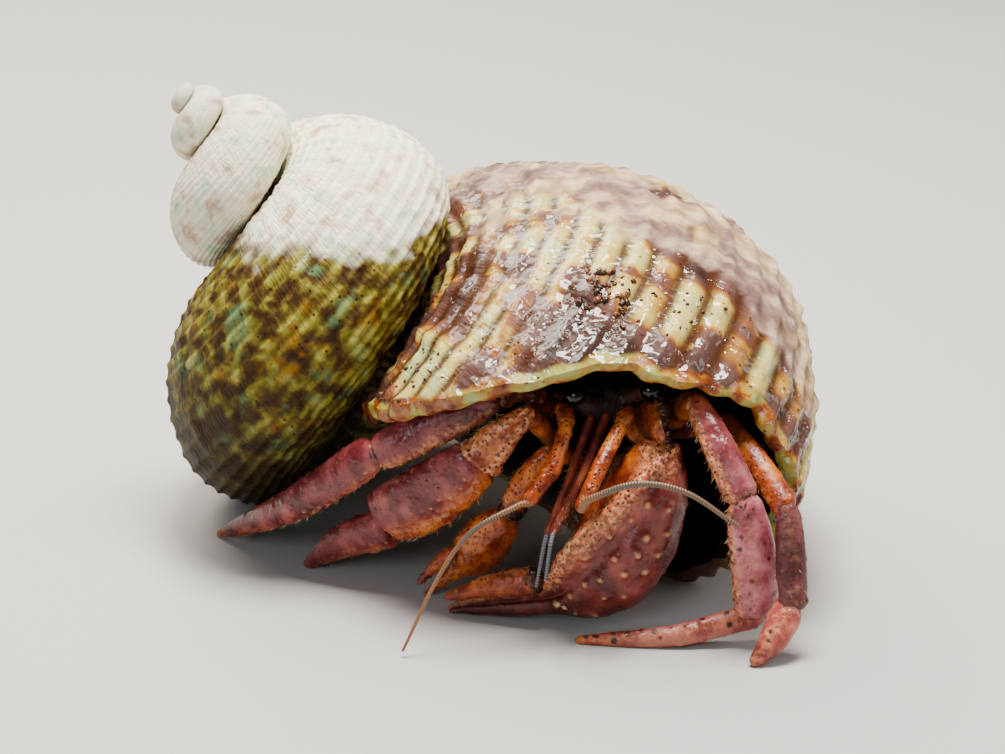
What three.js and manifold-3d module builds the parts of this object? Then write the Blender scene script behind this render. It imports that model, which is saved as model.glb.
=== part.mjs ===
// A land hermit crab in a turban shell, life size, crouching with its legs half drawn in.
// Millimetres, +Z up. The animal faces -Y and its own left side is towards +X.
// The shell is a log spiral carried round a leaning axis, hollow behind the lip, with the
// soft abdomen coiled inside it. Each plate-covered length of a limb is a solid of its own.
import * as THREE from 'three';
import { mergeVertices } from 'three/addons/utils/BufferGeometryUtils.js';
import Module from 'manifold-3d';

const wasm = await Module();
wasm.setup();

const DEGREE = Math.PI / 180;
const TURN = 2 * Math.PI;
const v = (x, y, z) => new THREE.Vector3(x, y, z);

// ---- driving dimensions ------------------------------------------------------------
const JOINT_GAP = 0.3;            // clear space between two neighbouring plates
const FLOOR_DEPTH = 6;            // thickness of the block that flattens the feet
const FLOOR_REACH = 160;          // side of that block

const SHELL = {
  tubeRadius: 16.6,               // half the long axis of the whorl's section at the lip
  tubeRatio: 0.742,               // short axis of that section over its long axis
  tubeLean: -48.5 * DEGREE,       // lean of the long axis in the plane of the shell's axis
  growth: 2.3,                    // how much the section grows in one turn
  spread: 1.0,                    // centre of the section from the shell's axis, in tube radii
  drop: 2.38,                     // centre of the section below the apex, in tube radii
  turns: 4.1,                     // whorls from the apex to the lip
  bore: 0.925,                    // inner section over the outer one, which leaves the wall
  boreTurns: 1.1,                 // how far the hollow runs back from the lip
  apex: v(-25.4, 31.6, 35.1),
  axisAzimuth: 172 * DEGREE,      // where the spire points, seen from above
  axisRise: 51.6 * DEGREE,        // and how steeply it rises
  roll: -42 * DEGREE,             // turn of the lip about the axis
  sides: 18,
  ringsPerTurn: 20,
};

// The lip runs on past the last full section where it meets the whorl before it, and a little
// at its lowest part, which stands on the floor under the animal.
const LIP = {
  start: -9 * DEGREE, reach: 58 * DEGREE, peak: 166 * DEGREE, sharpness: 2.35,
  footReach: 12 * DEGREE, foot: 290 * DEGREE, footSharpness: 16,
};

// Joints of the limbs, from the body outwards; left is the animal's own left.
const EYES = {
  right: { root: v(7.2, 12.3, 15.9), centre: v(5.3, 9.0, 17.5) },
  left: { root: v(8.7, 12.3, 15.9), centre: v(10.7, 9.0, 17.9) },
};
const EYE_RADIUS = 0.78;

const BIG_CLAW = {
  root: v(9.6, 14.2, 12.4), armEnd: v(10.9, 10.0, 15.7), elbow: v(11.3, 9.1, 16.5),
  wrist: v(11.8, 6.8, 14.3),
  palm: v(9.8, 6.3, 8.7), knuckle: v(5.6, 7.7, 2.7), fixedTip: v(-4.1, 9.9, 0.1),
  hinge: v(3.5, 7.1, 3.85), movingTip: v(-4.4, 9.2, 1.45),
};
const SMALL_CLAW = {
  root: v(5.8, 14.2, 10.6), armEnd: v(3.9, 11.4, 11.9), elbow: v(2.7, 10.5, 12.9),
  wrist: v(0.4, 11.4, 6.9),
  palm: v(-1.2, 12.0, 4.9), knuckle: v(-2.6, 12.6, 3.0), fixedTip: v(-6.0, 13.0, -0.1),
  hinge: v(-3.4, 11.1, 4.7), movingTip: v(-6.4, 11.9, 1.3),
};
// The widths are half widths at the two ends of each plated length.
const LEGS = {
  leg2_left: {
    root: v(12.6, 15.2, 12.8), thigh: v(13.9, 9.2, 17.2), knee: v(14.0, 8.4, 17.5), elbow: v(17.4, 3.7, 11.4),
    ankle: v(19.0, 4.4, 2.4), heel: v(18.6, 4.35, 1.55), bend: v(12.0, 3.7, 0.75), tip: v(5.1, 4.3, 0.2),
    face: v(0.8, 0.3, 0.5),
    widths: { merus: [0.8, 1.1], carpus: [0.95, 1.4], propodus: [1.5, 1.85], dactyl: 0.95 },
  },
  leg3_left: {
    root: v(12.8, 17.6, 11.2), thigh: v(16.3, 11.2, 15.0), knee: v(16.5, 10.4, 15.1),
    elbow: v(20.6, 3.9, 10.6), ankle: v(20.9, 2.5, 3.4), bend: v(19.5, 1.2, 1.7), tip: v(17.8, 0.0, 0.0),
    face: v(0.9, 0.2, 0.4),
    widths: { merus: [0.8, 1.0], carpus: [0.75, 1.1], propodus: [1.05, 1.15], dactyl: 1.3 },
  },
  leg2_right: {
    root: v(4.0, 16.0, 10.8), thigh: v(2.2, 11.0, 15.4), knee: v(1.6, 9.8, 16.2),
    elbow: v(-1.8, 11.0, 11.5), ankle: v(-8.8, 15.1, 4.8), bend: v(-12.4, 17.2, 2.5),
    tip: v(-15.2, 18.4, 0.0),
    face: v(0.5, 0.1, -0.8),
    widths: { merus: [0.8, 1.1], carpus: [0.8, 1.95], propodus: [2.35, 2.7], dactyl: 1.75 },
  },
  leg3_right: {
    root: v(3.6, 17.4, 11.2), thigh: v(2.6, 14.0, 15.7), knee: v(2.2, 13.5, 16.5),
    elbow: v(-0.5, 12.4, 16.2),
    ankle: v(-9.5, 13.6, 11.3), bend: v(-15.2, 17.0, 6.2), tip: v(-22.4, 24.8, 0.0),
    face: v(0.3, 0.1, 0.9),
    widths: { merus: [0.8, 1.0], carpus: [0.8, 1.15], propodus: [1.35, 1.6], dactyl: 1.6 },
  },
};

const COLOURS = {
  shell: '#b3a07c', plate: '#93544a', claw: '#8d5350', leg: '#8f4c4a', feeler: '#c46a24',
  flagellum: '#6f5b4c', eye: '#0b0a0a', soft: '#c9a08a', mouth: '#7a4032',
};

// ---- materials -----------------------------------------------------------------------
function finish(colour, roughness) {
  return new THREE.MeshStandardMaterial({ color: colour, roughness, metalness: 0 });
}
const MATERIALS = {
  shell: finish(COLOURS.shell, 0.5),
  plate: finish(COLOURS.plate, 0.5),
  claw: finish(COLOURS.claw, 0.45),
  leg: finish(COLOURS.leg, 0.45),
  feeler: finish(COLOURS.feeler, 0.5),
  flagellum: finish(COLOURS.flagellum, 0.6),
  eye: finish(COLOURS.eye, 0.08),
  soft: finish(COLOURS.soft, 0.6),
  mouth: finish(COLOURS.mouth, 0.55),
};

// ---- solids from rings ---------------------------------------------------------------
// Every solid is a stack of rings with the same number of points, closed by a fan at each end.
function solidFromRings(rings) {
  const sides = rings[0].length;
  const positions = [];
  const index = [];
  for (const ring of rings) {
    for (const point of ring) positions.push(point.x, point.y, point.z);
  }
  for (let row = 0; row + 1 < rings.length; row += 1) {
    for (let side = 0; side < sides; side += 1) {
      const next = (side + 1) % sides;
      const a = row * sides + side;
      const b = row * sides + next;
      index.push(a, b, a + sides, b, b + sides, a + sides);
    }
  }
  for (const [row, turnedOver] of [[0, true], [rings.length - 1, false]]) {
    const centre = new THREE.Vector3();
    for (const point of rings[row]) centre.addScaledVector(point, 1 / sides);
    const hub = positions.length / 3;
    positions.push(centre.x, centre.y, centre.z);
    for (let side = 0; side < sides; side += 1) {
      const a = row * sides + side;
      const b = row * sides + (side + 1) % sides;
      if (turnedOver) index.push(hub, b, a);
      else index.push(hub, a, b);
    }
  }
  const geometry = new THREE.BufferGeometry();
  geometry.setAttribute('position', new THREE.Float32BufferAttribute(positions, 3));
  geometry.setIndex(index);
  return geometry;
}

function toManifold(geometry) {
  const bare = geometry.clone();
  bare.deleteAttribute('normal');
  bare.deleteAttribute('uv');
  const merged = mergeVertices(bare, 1e-5);
  return new wasm.Manifold(new wasm.Mesh({
    numProp: 3,
    vertProperties: new Float32Array(merged.attributes.position.array),
    triVerts: new Uint32Array(merged.index.array),
  }));
}

function fromManifold(solid) {
  const mesh = solid.getMesh();
  const geometry = new THREE.BufferGeometry();
  geometry.setAttribute('position', new THREE.BufferAttribute(mesh.vertProperties, 3));
  geometry.setIndex(new THREE.BufferAttribute(mesh.triVerts, 1));
  return geometry;
}

// What reaches below the floor is cut off there, which leaves a small flat to rest on.
const floorBlock = new THREE.BoxGeometry(FLOOR_REACH, FLOOR_REACH, FLOOR_DEPTH);
floorBlock.translate(0, 0, -FLOOR_DEPTH / 2);
const FLOOR = toManifold(floorBlock);

function restOnFloor(geometry) {
  geometry.computeBoundingBox();
  if (geometry.boundingBox.min.z >= 0) return geometry;
  return fromManifold(toManifold(geometry).subtract(FLOOR));
}

// ---- the shell -------------------------------------------------------------------------
function shellFrame() {
  const rise = SHELL.axisRise;
  const axis = v(Math.cos(rise) * Math.cos(SHELL.axisAzimuth),
    Math.cos(rise) * Math.sin(SHELL.axisAzimuth), Math.sin(rise));
  const up = v(0, 0, 1).addScaledVector(axis, -axis.z).normalize();
  const across = axis.clone().cross(up);
  const lipwards = up.clone().multiplyScalar(Math.cos(SHELL.roll))
    .addScaledVector(across, Math.sin(SHELL.roll));
  return { axis, lipwards, sideways: axis.clone().cross(lipwards) };
}
const FRAME = shellFrame();
const GROWTH_RATE = Math.log(SHELL.growth) / TURN;

// A point of the shell: angle is 0 at the lip and falls towards the apex, around goes once
// round the section, and scale shrinks the section about its own centre.
function onSpiral(angle, around, scale) {
  const size = SHELL.tubeRadius * Math.exp(GROWTH_RATE * angle);
  const long = Math.cos(around) * scale;
  const short = Math.sin(around) * SHELL.tubeRatio * scale;
  const lean = SHELL.tubeLean;
  const out = (SHELL.spread + long * Math.cos(lean) - short * Math.sin(lean)) * size;
  const along = (-SHELL.drop + long * Math.sin(lean) + short * Math.cos(lean)) * size;
  return SHELL.apex.clone()
    .addScaledVector(FRAME.lipwards, out * Math.cos(-angle))
    .addScaledVector(FRAME.sideways, out * Math.sin(-angle))
    .addScaledVector(FRAME.axis, along);
}

function lipAngle(around) {
  const bell = (middle, sharpness) => Math.pow((1 + Math.cos(around - middle)) / 2, sharpness);
  return LIP.start + LIP.reach * bell(LIP.peak, LIP.sharpness)
    + LIP.footReach * bell(LIP.foot, LIP.footSharpness);
}

// A closed length of the tube, between an angle and an angle that may change round the ring.
function tubeLength(from, endAngle, rings, scale) {
  const stack = [];
  for (let row = 0; row <= rings; row += 1) {
    const share = row / rings;
    const ring = [];
    for (let side = 0; side < SHELL.sides; side += 1) {
      const around = TURN * side / SHELL.sides;
      const angle = from + (endAngle(around) - from) * share;
      ring.push(onSpiral(angle, around, scale));
    }
    stack.push(ring);
  }
  return toManifold(solidFromRings(stack));
}

function shellSolid() {
  const step = TURN / SHELL.ringsPerTurn;
  const lengthRings = SHELL.ringsPerTurn / 4;
  const lengths = [];
  const firstAngle = -SHELL.turns * TURN;
  const lastFixed = -TURN / 4;
  const count = Math.round((lastFixed - firstAngle) / (lengthRings * step));
  const span = (lastFixed - firstAngle) / count;
  for (let i = 0; i < count; i += 1) {
    const from = firstAngle + i * span;
    const to = from + span;
    lengths.push({ from, to, solid: tubeLength(from, () => to, lengthRings, 1) });
  }
  const lipLength = tubeLength(lastFixed, lipAngle, lengthRings + 2, 1);
  let outer = lipLength;
  for (const length of lengths) outer = outer.add(length.solid);

  // The hollow follows the tube at a smaller section, but never enters an earlier whorl.
  const earlier = (angle) => {
    let whorls = null;
    for (const length of lengths) {
      if (length.to > angle - 0.62 * TURN) continue;
      whorls = whorls ? whorls.add(length.solid) : length.solid;
    }
    return whorls;
  };
  const past = (around) => lipAngle(around) + 6 * DEGREE;
  let hollow = tubeLength(lastFixed, past, lengthRings + 2, SHELL.bore).subtract(earlier(lastFixed));
  const deepest = -SHELL.boreTurns * TURN;
  const hollowCount = Math.round((lastFixed - deepest) / span);
  const hollowSpan = (lastFixed - deepest) / hollowCount;
  for (let i = 0; i < hollowCount; i += 1) {
    const from = deepest + i * hollowSpan;
    const to = from + hollowSpan;
    const piece = tubeLength(from, () => to, lengthRings, SHELL.bore);
    hollow = hollow.add(piece.subtract(earlier(from)));
  }
  return fromManifold(outer.subtract(hollow).subtract(FLOOR));
}

// ---- limbs -------------------------------------------------------------------------------
// A plated length along a smooth path. Each station is [share of the length, half width, half
// thickness]; the width lies along "face", as near as the path allows.
function limb(points, stations, face, sides = 10) {
  const curve = new THREE.CatmullRomCurve3(points, false, 'centripetal');
  const rings = stations.map(([share, width, thickness]) => {
    const centre = curve.getPointAt(share);
    const forward = curve.getTangentAt(share);
    const wide = face.clone().addScaledVector(forward, -face.dot(forward)).normalize();
    const thick = forward.clone().cross(wide);
    const ring = [];
    for (let side = 0; side < sides; side += 1) {
      const around = TURN * side / sides;
      ring.push(centre.clone()
        .addScaledVector(wide, width * Math.cos(around))
        .addScaledVector(thick, thickness * Math.sin(around)));
    }
    return ring;
  });
  return restOnFloor(solidFromRings(rings));
}

// The path is drawn in from both of its joints.
function drawnIn(points, startInset = JOINT_GAP / 2, endInset = JOINT_GAP / 2) {
  const last = points.length - 1;
  const start = points[1].clone().sub(points[0]).setLength(startInset).add(points[0]);
  const end = points[last - 1].clone().sub(points[last]).setLength(endInset).add(points[last]);
  return [start, ...points.slice(1, last), end];
}

// A wide plate stands further back from its joint than a narrow one, so that a bent joint
// keeps its gap.
function jointInset(width) {
  return JOINT_GAP / 2 + 0.17 * width;
}

// A plate with rounded ends that swells from one half width to another.
function plate(points, startWidth, endWidth, flatness, face, sides) {
  const middle = (startWidth + endWidth) / 2 * 1.08;
  const stations = [
    [0, startWidth * 0.45],
    [0.06, startWidth * 0.85],
    [0.28, (startWidth * 2 + middle) / 3],
    [0.62, middle],
    [0.92, endWidth * 0.94],
    [1, endWidth * 0.55],
  ].map(([share, width]) => [share, width, width * flatness]);
  const path = drawnIn(points, jointInset(startWidth), jointInset(endWidth));
  return limb(path, stations, face, sides);
}

// A finger or claw tip that keeps its width at first and narrows towards the end of its path.
function taper(points, width, tipWidth, flatness, face, sides) {
  const rings = 5;
  const stations = [[0, width * 0.6, width * 0.6 * flatness]];
  for (let row = 0; row <= rings; row += 1) {
    const share = 0.06 + 0.92 * row / rings;
    const half = width + (tipWidth - width) * Math.pow(share, 1.9);
    stations.push([share, half, Math.max(half * flatness, 0.28)]);
  }
  stations.push([1, tipWidth * 0.6, Math.max(tipWidth * 0.6 * flatness, 0.2)]);
  return limb(drawnIn(points, jointInset(width)), stations, face, sides);
}

// ---- the animal ----------------------------------------------------------------------------
const crab = new THREE.Group();

function add(name, geometry, material) {
  const mesh = new THREE.Mesh(geometry, material);
  mesh.name = name;
  crab.add(mesh);
}

function trunk() {
  const shield = [
    [0, 1.9, 0.9], [0.08, 2.9, 1.6], [0.3, 3.5, 2.1], [0.65, 3.8, 2.3], [0.93, 3.3, 2.1], [1, 2.4, 1.4],
  ];
  const shieldPath = [v(7.95, 13.0, 15.1), v(8.0, 17.5, 15.6), v(8.0, 22.0, 16.0)];
  add('shield', limb(shieldPath, shield, v(1, 0, 0), 16), MATERIALS.plate);
  const back = [[0, 2.6, 2.0], [0.15, 3.7, 3.1], [0.5, 4.2, 3.6], [0.85, 4.0, 3.5], [1, 3.0, 2.6]];
  const backPath = [v(8.1, 22.4, 15.2), v(8.3, 26.0, 15.4), v(7.4, 30.4, 15.6)];
  add('back', limb(backPath, back, v(1, 0, 0), 14), MATERIALS.soft);
  const chest = [[0, 1.3, 0.6], [0.1, 2.2, 1.0], [0.5, 2.5, 1.2], [0.9, 2.3, 1.2], [1, 1.5, 0.7]];
  const chestPath = [v(7.9, 13.2, 10.6), v(8.0, 17.0, 11.0), v(8.1, 21.6, 11.0)];
  add('chest', limb(chestPath, chest, v(1, 0, 0), 12), MATERIALS.plate);
}

// The abdomen follows the middle of the tube in three lengths and ends in the tail fan.
function abdomen() {
  const lengths = [
    ['abdomen_front', -64, -116, 5.0, 5.4],
    ['abdomen_middle', -122, -192, 5.3, 4.5],
    ['abdomen_end', -199, -262, 4.2, 2.6],
  ];
  for (const [name, from, to, startRadius, endRadius] of lengths) {
    const points = [];
    for (let i = 0; i <= 4; i += 1) {
      points.push(onSpiral((from + (to - from) * i / 4) * DEGREE, 0, 0));
    }
    const stations = [0, 0.1, 0.35, 0.65, 0.9, 1].map((share) => {
      const radius = startRadius + (endRadius - startRadius) * share;
      const rounded = share === 0 || share === 1 ? radius * 0.62 : radius;
      return [share, rounded, rounded * 0.92];
    });
    add(name, limb(points, stations, v(0, 0, 1), 12), MATERIALS.soft);
  }
  const tail = [265, 272, 279].map((angle) => onSpiral(-angle * DEGREE, 0, 0));
  add('tail_fan', limb(tail, [[0, 1.2, 0.7], [0.3, 1.9, 1.0], [0.8, 1.6, 0.8], [1, 0.8, 0.4]],
    v(0, 0, 1), 10), MATERIALS.plate);
}

function eyes() {
  for (const [side, { root, centre }] of Object.entries(EYES)) {
    const stalkEnd = root.clone().sub(centre).setLength(EYE_RADIUS + JOINT_GAP * 0.7).add(centre);
    const stalk = [[0, 0.4, 0.4], [0.12, 0.62, 0.55], [0.55, 0.5, 0.45], [0.9, 0.6, 0.55], [1, 0.45, 0.4]];
    add(`eyestalk_${side}`, limb([root, stalkEnd], stalk, v(1, 0, 0), 10), MATERIALS.feeler);
    const eye = new THREE.SphereGeometry(EYE_RADIUS, 10, 7);
    eye.translate(centre.x, centre.y, centre.z);
    add(`eye_${side}`, eye, MATERIALS.eye);
  }
}

function feelers() {
  const thin = (half) => [[0, half, half], [0.2, half, half], [0.4, half, half],
    [0.6, half, half], [0.8, half, half], [1, half * 0.8, half * 0.8]];
  const antennules = {
    right: [v(6.6, 9.6, 15.9), v(5.0, 6.9, 12.3), v(3.1, 4.4, 8.3)],
    left: [v(7.7, 9.4, 16.2), v(6.0, 6.6, 12.8), v(4.1, 3.6, 8.9)],
  };
  const antennuleTips = {
    right: [v(3.0, 4.2, 7.9), v(2.7, 3.9, 6.2), v(2.4, 3.8, 4.5)],
    left: [v(3.9, 3.3, 8.5), v(3.7, 2.8, 7.2), v(3.5, 2.7, 5.6)],
  };
  for (const [side, path] of Object.entries(antennules)) {
    add(`antennule_${side}`, limb(drawnIn(path), [[0, 0.3, 0.3], [0.08, 0.42, 0.4], [0.5, 0.4, 0.36],
      [0.55, 0.34, 0.32], [0.94, 0.36, 0.34], [1, 0.26, 0.26]], v(1, 0, 0), 8), MATERIALS.feeler);
    add(`antennule_tip_${side}`, limb(drawnIn(antennuleTips[side]), thin(0.26), v(1, 0, 0), 6),
      MATERIALS.flagellum);
  }
  const antennae = {
    right: {
      base: [v(4.3, 10.2, 16.5), v(4.7, 8.1, 15.7)],
      shaft: [v(4.6, 7.7, 15.4), v(3.9, 5.9, 13.4), v(1.9, 4.1, 11.1)],
      whip: [v(1.7, 3.8, 11.0), v(-0.6, 3.2, 10.4), v(-2.4, 3.0, 9.3), v(-4.6, 2.8, 5.9),
        v(-6.3, 2.3, 2.4), v(-7.2, 1.7, 0.3)],
    },
    left: {
      base: [v(9.5, 9.0, 16.7), v(8.6, 7.6, 15.8)],
      shaft: [v(8.4, 7.2, 15.5), v(6.9, 4.6, 13.5), v(5.8, 2.4, 11.7)],
      whip: [v(6.0, 2.0, 11.8), v(7.8, 1.3, 13.3), v(10.1, 0.9, 13.9), v(13.1, 0.6, 13.3),
        v(15.3, 0.4, 11.8), v(16.7, 0.4, 10.6)],
    },
  };
  for (const [side, { base, shaft, whip }] of Object.entries(antennae)) {
    add(`antenna_base_${side}`, plate(base, 0.6, 0.62, 0.9, v(1, 0, 0), 8), MATERIALS.feeler);
    add(`antenna_shaft_${side}`, limb(drawnIn(shaft), [[0, 0.35, 0.35], [0.05, 0.55, 0.5],
      [0.5, 0.6, 0.52], [0.93, 0.55, 0.5], [1, 0.35, 0.35]], v(1, 0, 0), 10), MATERIALS.feeler);
    const stations = [];
    for (let row = 0; row <= 12; row += 1) {
      const half = 0.36 - 0.11 * row / 12;
      stations.push([row / 12, half, half]);
    }
    add(`antenna_whip_${side}`, limb(drawnIn(whip), stations, v(0.2, 1, 0.1), 6), MATERIALS.flagellum);
  }
}

function mouthparts() {
  const paths = {
    right: [v(7.0, 12.8, 11.4), v(5.6, 10.6, 10.4), v(4.6, 9.4, 7.2)],
    left: [v(8.6, 12.8, 11.4), v(7.4, 10.9, 11.2), v(6.3, 9.9, 8.4)],
  };
  for (const [side, path] of Object.entries(paths)) {
    add(`maxilliped_${side}`, limb(drawnIn(path), [[0, 0.4, 0.35], [0.1, 0.65, 0.55], [0.4, 0.7, 0.6],
      [0.7, 0.5, 0.45], [0.95, 0.38, 0.34], [1, 0.25, 0.25]], v(1, 0, 0), 8), MATERIALS.mouth);
  }
}

function claw(side, joints, size) {
  const face = v(-0.5, -0.1, 0.85);
  add(`claw_arm_${side}`, plate([joints.root, joints.armEnd], 1.0 * size, 1.3 * size, 0.85,
    v(1, 0, 0.2)), MATERIALS.claw);
  add(`claw_wrist_${side}`, plate([joints.elbow, joints.wrist], 1.35 * size, 1.9 * size, 0.85,
    v(1, 0, 0.3)), MATERIALS.claw);
  const hand = [
    [0, 1.2, 1.0], [0.04, 2.1, 1.6], [0.14, 3.2, 2.4], [0.3, 4.0, 2.85], [0.44, 3.9, 2.75],
    [0.55, 2.9, 2.1], [0.615, 1.6, 1.4], [0.68, 1.0, 1.05], [0.82, 0.85, 0.9], [0.95, 0.42, 0.5],
    [1, 0.25, 0.3],
  ].map(([share, width, thickness]) => [share, width * size, thickness * size]);
  const handPath = [joints.wrist, joints.palm, joints.knuckle, joints.fixedTip];
  add(`claw_hand_${side}`, limb(drawnIn(handPath, jointInset(1.6 * size)), hand, face, 12),
    MATERIALS.claw);
  const middle = joints.hinge.clone().lerp(joints.movingTip, 0.5);
  middle.z += 0.3 * size;
  add(`claw_finger_${side}`, taper([joints.hinge, middle, joints.movingTip], 1.1 * size,
    0.3 * size, 0.9, face, 10), MATERIALS.claw);
}

function leg(name, joints) {
  const { face, widths } = joints;
  add(`${name}_merus`, plate([joints.root, joints.thigh], ...widths.merus, 0.8, face),
    MATERIALS.leg);
  add(`${name}_carpus`, plate([joints.knee, joints.elbow], ...widths.carpus, 0.72, face),
    MATERIALS.leg);
  add(`${name}_propodus`, plate([joints.elbow, joints.ankle], ...widths.propodus, 0.62, face),
    MATERIALS.leg);
  const toe = [joints.heel ?? joints.ankle, joints.bend, joints.tip];
  add(`${name}_dactyl`, taper(toe, widths.dactyl, 0.34, 0.75, face, 10), MATERIALS.leg);
}

// The two small hind pairs, which hold the shell from inside.
function hindLegs() {
  const pairs = {
    leg4_right: [v(4.6, 22.6, 11.4), v(2.2, 21.6, 12.6), v(1.2, 19.6, 14.6)],
    leg4_left: [v(11.6, 22.6, 11.4), v(14.0, 21.6, 11.6), v(14.8, 19.6, 13.2)],
    leg5_right: [v(4.8, 27.0, 11.0), v(3.0, 27.6, 9.8), v(1.6, 26.4, 11.6)],
    leg5_left: [v(11.4, 27.0, 11.0), v(13.2, 27.6, 9.8), v(14.4, 26.4, 11.4)],
  };
  for (const [name, path] of Object.entries(pairs)) {
    add(name, limb(path, [[0, 0.4, 0.4], [0.1, 0.6, 0.5], [0.5, 0.65, 0.5], [0.85, 0.6, 0.5],
      [1, 0.35, 0.3]], v(0, 0, 1), 8), MATERIALS.leg);
  }
}

add('shell', shellSolid(), MATERIALS.shell);
trunk();
abdomen();
eyes();
feelers();
mouthparts();
claw('left', BIG_CLAW, 1);
claw('right', SMALL_CLAW, 0.5);
for (const [name, joints] of Object.entries(LEGS)) leg(name, joints);
hindLegs();

// The origin is moved to the middle of the footprint, on the floor.
const extent = new THREE.Box3().setFromObject(crab);
const middle = extent.getCenter(new THREE.Vector3());
crab.position.set(-middle.x, -middle.y, -extent.min.z);

export default crab;
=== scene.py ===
"""Looks of a land hermit crab in a ridged turban shell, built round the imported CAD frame."""

import bpy
import numpy as np
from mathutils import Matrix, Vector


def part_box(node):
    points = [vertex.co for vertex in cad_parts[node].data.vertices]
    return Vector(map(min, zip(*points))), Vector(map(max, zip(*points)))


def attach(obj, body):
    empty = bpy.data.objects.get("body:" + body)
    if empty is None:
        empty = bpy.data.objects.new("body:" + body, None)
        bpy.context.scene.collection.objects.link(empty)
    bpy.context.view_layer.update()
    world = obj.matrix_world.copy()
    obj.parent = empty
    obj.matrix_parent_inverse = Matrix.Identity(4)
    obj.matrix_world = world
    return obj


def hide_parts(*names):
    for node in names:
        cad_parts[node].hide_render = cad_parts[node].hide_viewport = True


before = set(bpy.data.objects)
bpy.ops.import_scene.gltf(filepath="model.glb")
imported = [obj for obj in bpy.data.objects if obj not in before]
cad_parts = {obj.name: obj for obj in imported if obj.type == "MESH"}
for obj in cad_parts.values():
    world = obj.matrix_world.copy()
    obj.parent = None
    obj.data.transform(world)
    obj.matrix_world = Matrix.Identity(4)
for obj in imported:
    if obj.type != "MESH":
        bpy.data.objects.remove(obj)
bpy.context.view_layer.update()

# ---- Camera ------------------------------------------------------------------------------
# A long lens from the front, a little above the animal, as one looks down at something
# small on wet ground.
MM = 0.001                          # the scene is in metres and every length below in mm
LENS_MM = 128.6
VIEW_DISTANCE = 250.0
VIEW_RISE = np.radians(20.0)        # how far above the horizon the camera looks from
LOOK_AT = np.array([1.359, -25.578, 22.187])
TOWARDS_CAMERA = np.array([0.0, -np.cos(VIEW_RISE), np.sin(VIEW_RISE)])

camera = bpy.data.objects.new("camera", bpy.data.cameras.new("camera"))
bpy.context.scene.collection.objects.link(camera)
camera.data.lens = LENS_MM
camera.data.clip_start = 0.01
camera.location = (LOOK_AT + VIEW_DISTANCE * TOWARDS_CAMERA) * MM
camera.rotation_euler = (np.pi / 2 - VIEW_RISE, 0.0, 0.0)
bpy.context.scene.camera = camera


# ---- The turban shell: its spiral ----------------------------------------------------------
# A right-handed log spiral that the snail built at the lip as it grew. Each whorl is an
# oval tube that lies against the one before it, and rounded cords run along it.
TUBE_RADIUS = 16.6                  # half the long axis of the tube's section at the lip
TUBE_RATIO = 0.742                  # its short axis over its long axis
TUBE_LEAN = np.radians(-48.5)       # of the long axis, from straight out of the shell's axis
GROWTH = 2.3                        # how much the tube grows in one turn
SPREAD = 1.0                        # middle of the tube from the shell's axis, in tube radii
DROP = 2.38                         # and below the apex
TURNS = 4.1                         # from the lip to the apex
APEX = np.array([-24.041, 6.022, 35.1])
AXIS_AZIMUTH, AXIS_RISE, AXIS_ROLL = np.radians([172.0, 51.6, -42.0])
LIP_START = np.radians(-9.0)        # where the tube ends, before the lip runs on
LIP_BELLS = {                       # where round the tube the lip runs on: by how much, sharpness
    np.radians(166.0): (np.radians(58.0), 2.35),
    np.radians(290.0): (np.radians(12.0), 16.0),
}
WALL_SCALE = 0.925                  # the inside of the tube over its outside
CORDS = 42                          # spiral cords round a whole section
CORD_HEIGHT = 0.021                 # in tube radii
TURN = 2 * np.pi


def unit(vector):
    """The vector at length one; works on arrays of vectors too."""
    return vector / np.maximum(np.linalg.norm(vector, axis=-1, keepdims=True), 1e-12)


AXIS = np.array([np.cos(AXIS_RISE) * np.cos(AXIS_AZIMUTH), np.cos(AXIS_RISE) * np.sin(AXIS_AZIMUTH),
                 np.sin(AXIS_RISE)])
UP_ON_AXIS = unit(np.array([0.0, 0.0, 1.0]) - AXIS * AXIS[2])
LIPWARDS = UP_ON_AXIS * np.cos(AXIS_ROLL) + np.cross(AXIS, UP_ON_AXIS) * np.sin(AXIS_ROLL)
SIDEWAYS = np.cross(AXIS, LIPWARDS)


def on_spiral(angle, around, scale):
    """A point of the tube. Its radius is TUBE_RADIUS times GROWTH to the power of turns; the
    section is an ellipse leaned over in the plane through the shell's axis; angle is 0 at the
    lip and falls towards the apex, around goes once round the section."""
    size = TUBE_RADIUS * GROWTH ** (angle / TURN)
    long = np.cos(around) * scale
    short = np.sin(around) * TUBE_RATIO * scale
    out = (SPREAD + long * np.cos(TUBE_LEAN) - short * np.sin(TUBE_LEAN)) * size
    along = (-DROP + long * np.sin(TUBE_LEAN) + short * np.cos(TUBE_LEAN)) * size
    return (APEX + LIPWARDS * (out * np.cos(angle))[..., None]
            - SIDEWAYS * (out * np.sin(angle))[..., None] + AXIS * along[..., None])


def cord_crest(around):
    """How many cords lie before a place round the section, and how near it is to the top of one:
    1 on top and 0 in the groove beside it. The cords' spacing wanders a little."""
    phase = CORDS * (around + 0.035 * np.sin(3 * around + 0.6)) / TURN
    return phase, (0.5 + 0.5 * np.cos(TURN * phase)) ** 0.75


def lip_angle(around):
    """Where the tube ends: the lip runs on where it meets the whorl before it and where it
    stands on the floor, as cosine bells. The cords and three finer waves shift it a little."""
    waves = np.sin(7 * around + 0.5) + 0.8 * np.sin(11 * around + 2.1) + 0.5 * np.sin(17 * around)
    end = LIP_START + np.radians(0.8 * cord_crest(around)[1] + 0.75 * waves)
    for middle, (reach, sharpness) in LIP_BELLS.items():
        end = end + reach * ((1 + np.cos(around - middle)) / 2) ** sharpness
    return end


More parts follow.
